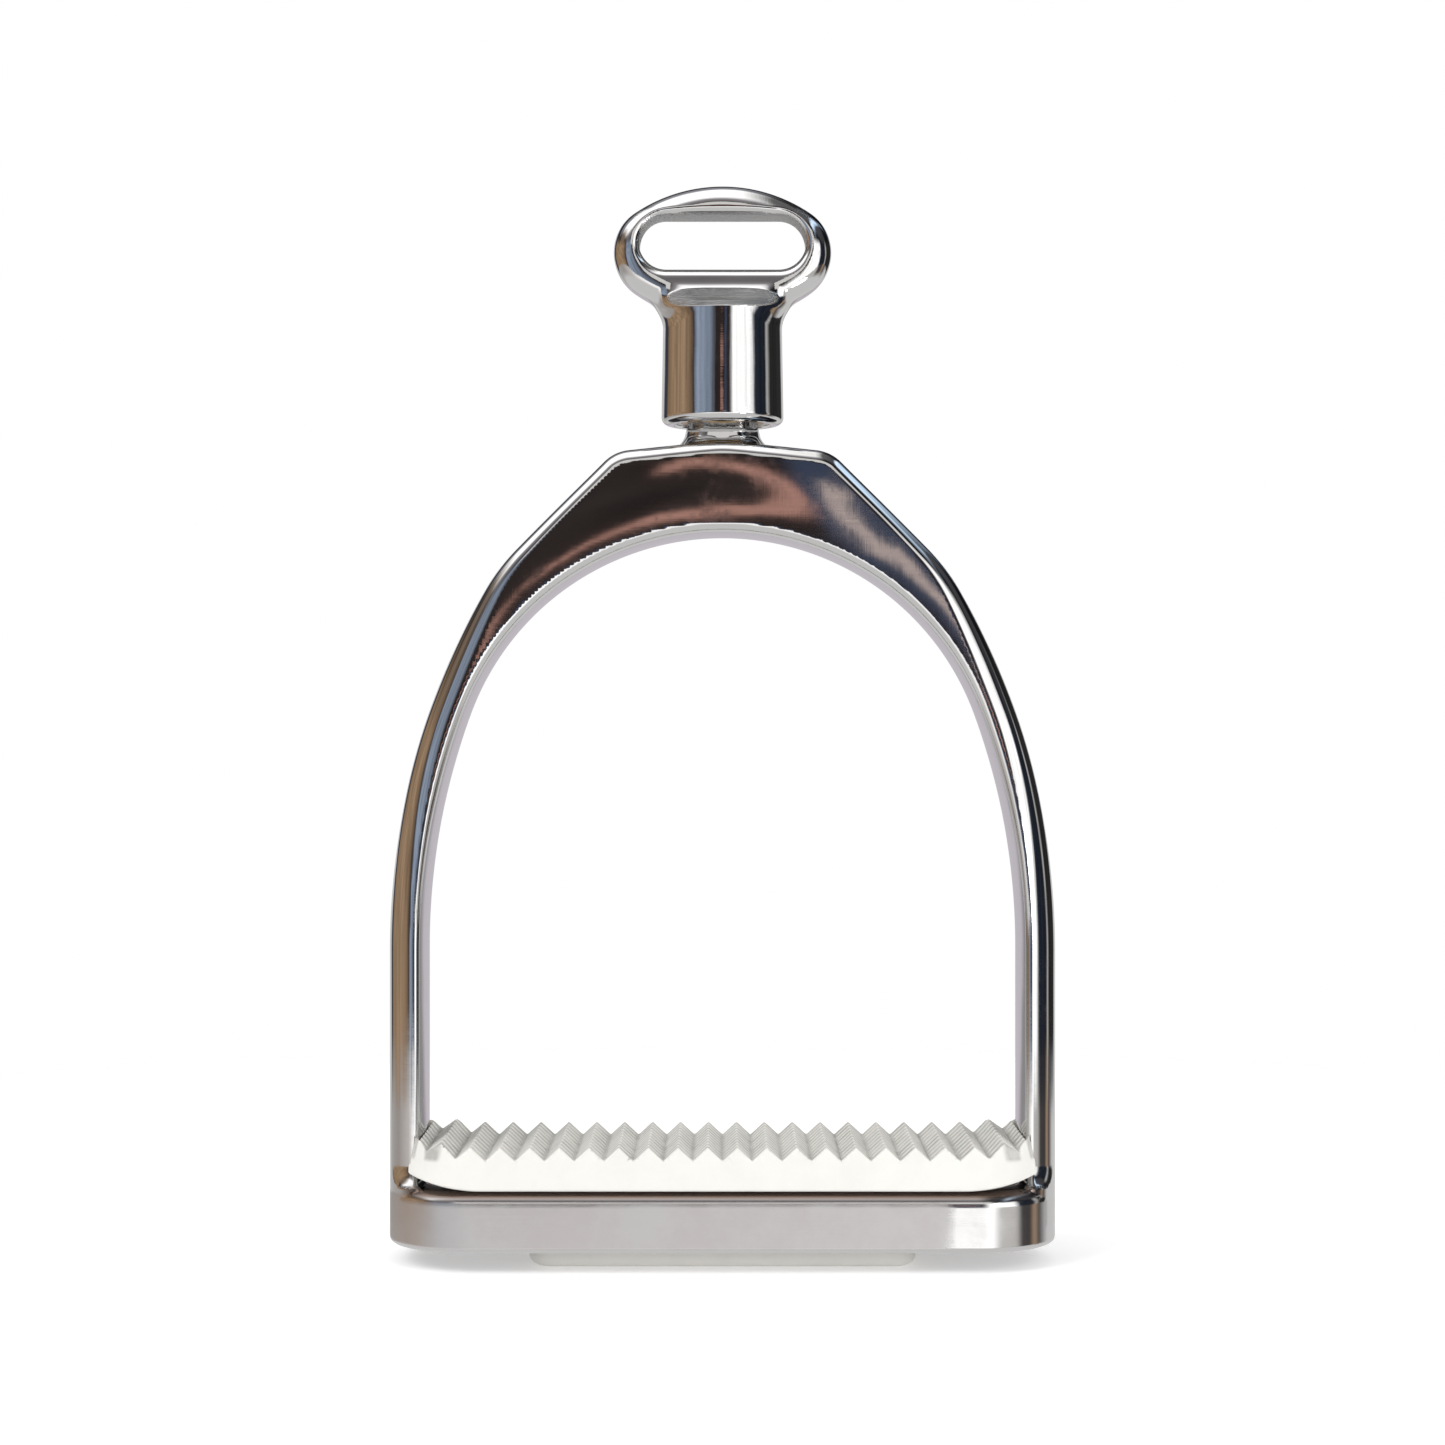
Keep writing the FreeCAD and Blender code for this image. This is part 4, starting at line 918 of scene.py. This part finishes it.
class STIRRUP_OT_eye(bpy.types.Operator):
    """Mesh the swivelling eye casting and give it polished steel with a cast slot"""
    bl_idname = "stirrup.eye"
    bl_label = "Swivel eye"

    def execute(self, context):
        scene = context.scene
        eye = scene.stirrup_eye
        piece = mesh_from_field(
            "swivel_eye_casting", eye_field(eye), EYE_LOW, EYE_HIGH, EYE_CELL)
        wear(piece, eye_steel(scene.stirrup_finishes, shared_groups(), eye))
        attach(piece, "eye")
        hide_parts("swivel_eye")
        return {"FINISHED"}


class STIRRUP_OT_pad(bpy.types.Operator):
    """Mesh the ribbed rubber tread with its plug"""
    bl_idname = "stirrup.pad"
    bl_label = "Tread pad"

    def execute(self, context):
        scene = context.scene
        pad = scene.stirrup_pad
        piece = mesh_from_field(
            "tread_pad_rubber", pad_field(pad, scene.stirrup_bow), PAD_LOW,
            PAD_HIGH + Vector((0.0, 0.0, pad.lift)), PAD_CELL, PAD_ADAPTIVITY)
        wear(piece, rubber_material(scene.stirrup_finishes, shared_groups(), pad))
        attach(piece, "iron")
        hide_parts("tread_pad")
        return {"FINISHED"}


class STIRRUP_OT_bearing(bpy.types.Operator):
    """Give the bearing pieces inside the barrel their machined finishes"""
    bl_idname = "stirrup.bearing"
    bl_label = "Bearing pieces"

    def execute(self, context):
        finish = context.scene.stirrup_finishes
        groups = shared_groups()
        steel = finish.steel
        looks = {
            "retaining_collar": turned_metal(
                "collar_turned_steel", [0.95 * v for v in steel], 0.14, groups),
            "neck_bush": turned_metal("bush_bronze", finish.bronze, 0.38, groups),
            "thrust_washer": turned_metal(
                "washer_ground_steel", [0.7 * v for v in steel], 0.30, groups, 1.6),
            "stud_nut": turned_metal("nut_steel", [0.75 * v for v in steel], 0.33, groups),
            "nut_cross_pin": turned_metal(
                "pin_drawn_steel", [0.8 * v for v in steel], 0.25, groups, 0.5),
            "top_thrust_disc": nylon_material(finish, groups),
        }
        for name, material in looks.items():
            wear(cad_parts[name], material)
        return {"FINISHED"}


LAMP = 1.7                      # brightness of a white stop below
SOFT_LOW, SOFT_HIGH = 0.62, 0.86    # even light on matt surfaces, from the horizon to overhead
# the bent warm shape in front, as slopes from straight ahead
BEND_END, BEND_LEVEL, BEND_RADIUS = -0.005, 0.083, 0.064
# straight shapes in front, from end to end, in the same slopes
LOW_STREAK = ((-0.090, 0.007), (-0.035, 0.027))
WARM_CARD = ((0.104, 0.13), (0.088, 0.002))
COOL_STREAK = ((0.105, 0.22), (0.100, -0.05))
# where the ground, the ceiling and the space under the table give way, for the direction's z
GROUND_EDGE = (-0.145, -0.105)
CEILING_EDGE = (0.25, 0.42)
LOW_EDGE = (-0.40, -0.22)
# colour of the room round the horizon: degrees from the near side, positive towards +X
AROUND = (
    (-180, (0.36, 0.36, 0.37)),
    (-150, (0.42, 0.42, 0.44)),
    (-143, (0.03, 0.035, 0.05)),
    (-131, (0.03, 0.03, 0.035)),
    (-124, (0.21, 0.14, 0.085)),
    (-80, (0.26, 0.175, 0.11)),
    (-64, (0.16, 0.105, 0.065)),
    (-57, (0.03, 0.025, 0.025)),
    (-52, (0.20, 0.24, 0.31)),
    (-24, (0.14, 0.17, 0.22)),
    (-14, (0.022, 0.017, 0.016)),
    (14, (0.019, 0.015, 0.015)),
    (22, (1.00, 1.00, 1.00)),
    (57, (1.00, 1.00, 1.00)),
    (65, (0.012, 0.016, 0.025)),
    (90, (0.010, 0.012, 0.016)),
    (94, (0.30, 0.30, 0.30)),
    (98, (0.26, 0.25, 0.24)),
    (102, (0.014, 0.014, 0.015)),
    (146, (0.020, 0.019, 0.019)),
    (156, (0.46, 0.46, 0.48)),
    (180, (0.36, 0.36, 0.37)),
)
# the same just below the horizon, where the room has a light ground
GROUND = (
    (-180, (0.36, 0.36, 0.37)),
    (-130, (0.30, 0.29, 0.28)),
    (-90, (0.26, 0.24, 0.23)),
    (-60, (0.42, 0.40, 0.385)),
    (-30, (0.80, 0.785, 0.775)),
    (0, (0.80, 0.785, 0.775)),
    (4, (1.00, 1.00, 1.00)),
    (26, (1.00, 1.00, 1.00)),
    (36, (0.40, 0.39, 0.38)),
    (62, (0.34, 0.33, 0.32)),
    (70, (0.05, 0.045, 0.045)),
    (84, (0.04, 0.035, 0.035)),
    (92, (0.27, 0.19, 0.13)),
    (102, (0.05, 0.045, 0.045)),
    (124, (0.45, 0.45, 0.45)),
    (180, (0.36, 0.36, 0.37)),
)
# colour of the ceiling from the near side, over the top, to the far side, in degrees
OVER = (
    (0, (0.019, 0.015, 0.015)),
    (26, (0.030, 0.024, 0.024)),
    (46, (0.22, 0.21, 0.22)),
    (60, (1.00, 1.00, 1.00)),
    (104, (1.00, 1.00, 1.00)),
    (114, (0.22, 0.23, 0.25)),
    (130, (0.18, 0.18, 0.20)),
    (138, (0.020, 0.020, 0.024)),
    (160, (0.030, 0.030, 0.034)),
    (168, (0.40, 0.40, 0.42)),
    (180, (0.36, 0.36, 0.37)),
)
# colour of the far wall: degrees away from straight behind the object
BEHIND = (
    (0, (0.33, 0.31, 0.335)),
    (9, (0.34, 0.32, 0.345)),
    (11, (0.17, 0.165, 0.17)),
    (13, (0.17, 0.165, 0.165)),
    (14.5, (0.40, 0.395, 0.38)),
    (24, (0.41, 0.405, 0.39)),
    (30, (0.42, 0.42, 0.42)),
)
# how bright the ceiling is from side to side, for the direction's x
ACROSS = (
    (-1.0, (0.06, 0.05, 0.04)),
    (-0.86, (0.16, 0.12, 0.09)),
    (-0.74, (1.00, 1.00, 1.00)),
    (0.10, (1.00, 1.00, 1.00)),
    (0.30, (0.10, 0.10, 0.10)),
    (0.56, (0.05, 0.05, 0.06)),
    (0.62, (0.70, 0.84, 1.00)),
    (0.67, (0.55, 0.72, 0.90)),
    (0.73, (0.05, 0.05, 0.06)),
    (1.0, (0.03, 0.03, 0.03)),
)


def colour_stops(tree, fac, stops, first, last):
    """A colour ramp whose stops are given as (value, colour), for values from first to last."""
    made = add(tree, "ShaderNodeValToRGB", {0: ramp_line(tree, fac, first, last)})
    elements = made.color_ramp.elements
    elements[0].color = rgba(stops[0][1])
    elements[-1].color = rgba(stops[-1][1])
    for value, shade in stops[1:-1]:
        elements.new((value - first) / (last - first)).color = rgba(shade)
    return made.outputs[0]


def ramp_line(tree, fac, low, high):
    made = add(tree, "ShaderNodeMapRange", {"Value": fac, "From Min": low, "From Max": high})
    return made.outputs[0]


def angle_node(tree, rise, run):
    """The angle of the direction (run, rise), in degrees."""
    return math_node(tree, "DEGREES", math_node(tree, "ARCTAN2", rise, run))


def soft_shape(tree, distance, half, blur):
    """A mask that is 1 within half of zero and fades to 0 over blur."""
    return ramp(tree, absolute(tree, distance), half, half + blur, 1.0, 0.0)


def across_line(tree, point, start, end):
    """Distance off the line from start to end, and a mask for the points between its ends."""
    run = math.dist(start, end)
    ahead = ((end[0] - start[0]) / run, (end[1] - start[1]) / run)
    dx = math_node(tree, "SUBTRACT", point[0], start[0])
    dy = math_node(tree, "SUBTRACT", point[1], start[1])
    along = math_node(tree, "MULTIPLY_ADD", dx, ahead[0], times(tree, dy, ahead[1]))
    off = math_node(tree, "MULTIPLY_ADD", dx, -ahead[1], times(tree, dy, ahead[0]))
    inside = soft_shape(tree, math_node(tree, "SUBTRACT", along, run / 2), run * 0.42, run * 0.16)
    return off, inside


def front_shapes(tree, ray, room):
    """Warm and blue shapes of a busy room on the near side, as slopes from straight ahead."""
    split = split_xyz(tree, ray)
    ahead = math_node(tree, "MAXIMUM", times(tree, split["Y"], -1.0), 0.05)
    plain = [math_node(tree, "DIVIDE", split[axis], ahead) for axis in ("X", "Z")]
    place_in = add(tree, "ShaderNodeCombineXYZ", {0: plain[0], 1: plain[1]}).outputs[0]
    warp = math_node(tree, "SUBTRACT", noise(tree, place_in, 9.0, 1.0), 0.5)
    point = [math_node(tree, "MULTIPLY_ADD", warp, 0.03, value) for value in plain]
    near = ramp(tree, absolute(tree, point[0]), 0.22, 0.34, 1.0, 0.0)
    near = times(tree, near, ramp(tree, point[1], 0.24, 0.42, 1.0, 0.0))
    # a bent warm shape that opens to the left
    from_middle = math_node(tree, "MAXIMUM", math_node(
        tree, "SUBTRACT", point[0], BEND_END), 0.0)
    level = math_node(tree, "SUBTRACT", point[1], BEND_LEVEL)
    reach = hypotenuse(tree, from_middle, level)
    bend = soft_shape(tree, math_node(tree, "SUBTRACT", reach, BEND_RADIUS), 0.004, 0.016)
    bend = times(tree, bend, ramp(tree, point[0], -0.075, -0.045))
    off, inside = across_line(tree, point, *LOW_STREAK)
    low_streak = times(tree, soft_shape(tree, off, 0.002, 0.007), inside)
    warm = math_node(tree, "MAXIMUM", bend, low_streak)
    off, inside = across_line(tree, point, *WARM_CARD)
    card = times(tree, soft_shape(tree, off, 0.004, 0.006), inside)
    off, inside = across_line(tree, point, *COOL_STREAK)
    cool = times(tree, soft_shape(tree, off, 0.026, 0.02), inside)
    cool = math_node(tree, "MAXIMUM", cool, ramp(tree, point[1], -0.050, -0.020, 1.0, 0.0))
    for mask, shade in ((cool, (0.032, 0.042, 0.070)), (warm, (0.34, 0.18, 0.145)),
                        (card, (0.42, 0.34, 0.31))):
        room = mix_colour(tree, times(tree, mask, near), room, rgba(shade))
    return room


def room_world():
    """White behind the object; soft boxes, cards and a dark room for the metal to reflect."""
    world = bpy.data.worlds.new("studio_room")
    world.use_nodes = True
    tree = world.node_tree
    tree.nodes.clear()
    ray = add(tree, "ShaderNodeTexCoord").outputs["Generated"]
    split = split_xyz(tree, ray)
    ahead = times(tree, split["Y"], -1.0)
    wobble = math_node(tree, "SUBTRACT", noise(tree, ray, 2.2, 2.0), 0.5)
    turn = math_node(tree, "MULTIPLY_ADD", wobble, 7.0, angle_node(tree, split["X"], ahead))
    around = colour_stops(tree, turn, AROUND, -180, 180)
    mottle = ramp(tree, noise(tree, ray, 11.0, 3.0, 0.6), 0.3, 0.7, 0.72, 1.25)
    around = tint(tree, around, grey(tree, mottle))
    around = front_shapes(tree, ray, around)
    edge = math_node(tree, "MULTIPLY_ADD", wobble, 0.06, split["Z"])
    ground = ramp(tree, edge, *GROUND_EDGE, 1.0, 0.0)
    around = mix_colour(tree, ground, around, colour_stops(tree, turn, GROUND, -180, 180))
    height = math_node(tree, "MULTIPLY_ADD", wobble, 6.0, angle_node(tree, split["Z"], ahead))
    sideways = math_node(tree, "MULTIPLY_ADD", wobble, 0.05, split["X"])
    side = colour_stops(tree, sideways, ACROSS, -1, 1)
    over = tint(tree, colour_stops(tree, height, OVER, 0, 180), side)
    behind = math_node(tree, "DEGREES", math_node(tree, "ARCCOSINE", split["Y"]))
    far_side = ramp(tree, behind, 22.0, 26.0, 1.0, 0.0)
    around = mix_colour(tree, far_side, around, colour_stops(tree, behind, BEHIND, 0, 30))
    high = ramp(tree, split["Z"], *CEILING_EDGE)
    room = mix_colour(tree, high, around, over)
    card = soft_shape(tree, math_node(tree, "SUBTRACT", split["Z"], 0.39), 0.10, 0.03)
    card = times(tree, card, soft_shape(tree, turn, 24.0, 5.0))
    room = mix_colour(tree, card, room, rgba((0.52, 0.51, 0.50)))
    low = ramp(tree, split["Z"], *LOW_EDGE, 1.0, 0.0)
    room = mix_colour(tree, low, room, rgba((0.45, 0.45, 0.45)))
    path = add(tree, "ShaderNodeLightPath")
    room = tint(tree, room, rgba((LAMP, LAMP, LAMP)))
    soft = ramp(tree, split["Z"], -0.2, 1.0, SOFT_LOW, SOFT_HIGH)
    seen = mix_colour(tree, path.outputs["Is Diffuse Ray"], room, grey(tree, soft))
    seen = mix_colour(tree, path.outputs["Is Camera Ray"], seen, rgba((1.0, 1.0, 1.0)))
    background = add(tree, "ShaderNodeBackground", {"Color": seen, "Strength": 1.0})
    output = add(tree, "ShaderNodeOutputWorld")
    tree.links.new(background.outputs[0], output.inputs[0])
    return world


def soft_lamp(name, place_at, target, size, power):
    """A square area lamp that lights the rubber and floor but isn't mirrored in the steel."""
    data = bpy.data.lights.new(name, "AREA")
    data.shape = "SQUARE"
    data.size = size
    data.energy = power
    lamp = bpy.data.objects.new(name, data)
    bpy.context.scene.collection.objects.link(lamp)
    lamp.location = place_at
    lamp.rotation_mode = "QUATERNION"
    lamp.rotation_quaternion = (Vector(target) - Vector(place_at)).to_track_quat("-Z", "Y")
    lamp.visible_glossy = False
    return lamp


def pale_floor(finish, radius):
    """A round table top, white, that fades out at its rim."""
    count = 96
    rings = 12
    vertices = [(0.0, 0.0, 0.0)]
    for step in range(1, rings + 1):
        for index in range(count):
            angle = 2 * math.pi * index / count
            reach = radius * step / rings
            vertices.append((reach * math.cos(angle), reach * math.sin(angle), 0.0))
    faces = [(0, 1 + index, 1 + (index + 1) % count) for index in range(count)]
    for step in range(rings - 1):
        for index in range(count):
            here = 1 + step * count + index
            after = 1 + step * count + (index + 1) % count
            faces.append((here, here + count, after + count, after))
    mesh = bpy.data.meshes.new("floor")
    mesh.from_pydata(vertices, [], faces)
    floor = bpy.data.objects.new("floor", mesh)
    bpy.context.scene.collection.objects.link(floor)
    material, tree, shader = new_material("pale_floor")
    where = position(tree)
    tone = ramp(tree, noise(tree, where, 30.0, 3.0), 0.3, 0.7)
    distance = add(tree, "ShaderNodeVectorMath", {0: where}, operation="LENGTH").outputs["Value"]
    feed(tree, shader, {
        "Base Color": mix_colour(tree, tone, rgba(finish.floor, 0.985), rgba(finish.floor)),
        "Roughness": 0.6,
        "Emission Color": (1.0, 1.0, 1.0, 1.0),
        "Emission Strength": 0.22,
        "Alpha": ramp(tree, distance, radius * 0.7, radius * 0.99, 1.0, 0.0),
    })
    wear(floor, material)
    floor.visible_glossy = False


# name, place, point it faces, size in metres and power in watts
LAMPS = (
    ("key_softbox", (-0.6, -0.5, 0.7), (0.0, 0.0, 0.02), 0.5, 3.7),
    ("fill_softbox", (0.5, -0.7, 0.5), (0.0, 0.0, 0.02), 0.5, 2.2),
    ("low_card", (0.25, -0.30, 0.07), (0.05, 0.0, 0.03), 0.06, 0.16),
)
FLOOR_RADIUS = 0.38
CAMERA_AT = (0.0, -0.575, 0.1078)
SENSOR, LENS = 36.0, 71.0       # millimetres


class STIRRUP_OT_stage(bpy.types.Operator):
    """Set up the pale floor, the soft studio light and the camera"""
    bl_idname = "stirrup.stage"
    bl_label = "Stage"

    def execute(self, context):
        scene = context.scene
        scene.world = room_world()
        scene.view_settings.view_transform = "Standard"
        pale_floor(scene.stirrup_finishes, FLOOR_RADIUS)
        lamps = [soft_lamp(*row) for row in LAMPS]
        # the low card alone is mirrored, at the ring's end
        lamps[-1].visible_glossy = True
        data = bpy.data.cameras.new("camera")
        data.sensor_width = SENSOR
        data.lens = LENS
        data.clip_start = 0.01
        camera = bpy.data.objects.new("camera", data)
        scene.collection.objects.link(camera)
        camera.location = CAMERA_AT
        camera.rotation_euler = (math.pi / 2, 0.0, 0.0)
        scene.camera = camera
        return {"FINISHED"}


class STIRRUP_PT_panel(bpy.types.Panel):
    """Sidebar panel with the sizes, the finishes and a button for each piece"""
    bl_idname = "STIRRUP_PT_panel"
    bl_label = "Stirrup Iron"
    bl_space_type = "VIEW_3D"
    bl_region_type = "UI"
    bl_category = "Stirrup"

    def draw(self, context):
        layout = self.layout
        for name, group in GROUPS.items():
            box = layout.box()
            box.label(text=name.replace("_", " ").capitalize())
            for key in group.__annotations__:
                box.prop(getattr(context.scene, name), key)
        for operator in OPERATORS:
            layout.operator(operator.bl_idname)


OPERATORS = (
    STIRRUP_OT_body,
    STIRRUP_OT_eye,
    STIRRUP_OT_pad,
    STIRRUP_OT_bearing,
    STIRRUP_OT_stage,
)


def register():
    for group in (*GROUPS.values(), *OPERATORS, STIRRUP_PT_panel):
        bpy.utils.register_class(group)
    for name, group in GROUPS.items():
        setattr(bpy.types.Scene, name, bpy.props.PointerProperty(type=group))


def unregister():
    for name in GROUPS:
        delattr(bpy.types.Scene, name)
    for group in reversed((*GROUPS.values(), *OPERATORS, STIRRUP_PT_panel)):
        bpy.utils.unregister_class(group)


def main():
    register()
    bpy.ops.stirrup.body()
    bpy.ops.stirrup.eye()
    bpy.ops.stirrup.pad()
    bpy.ops.stirrup.bearing()
    bpy.ops.stirrup.stage()


if __name__ == "__main__":
    main()
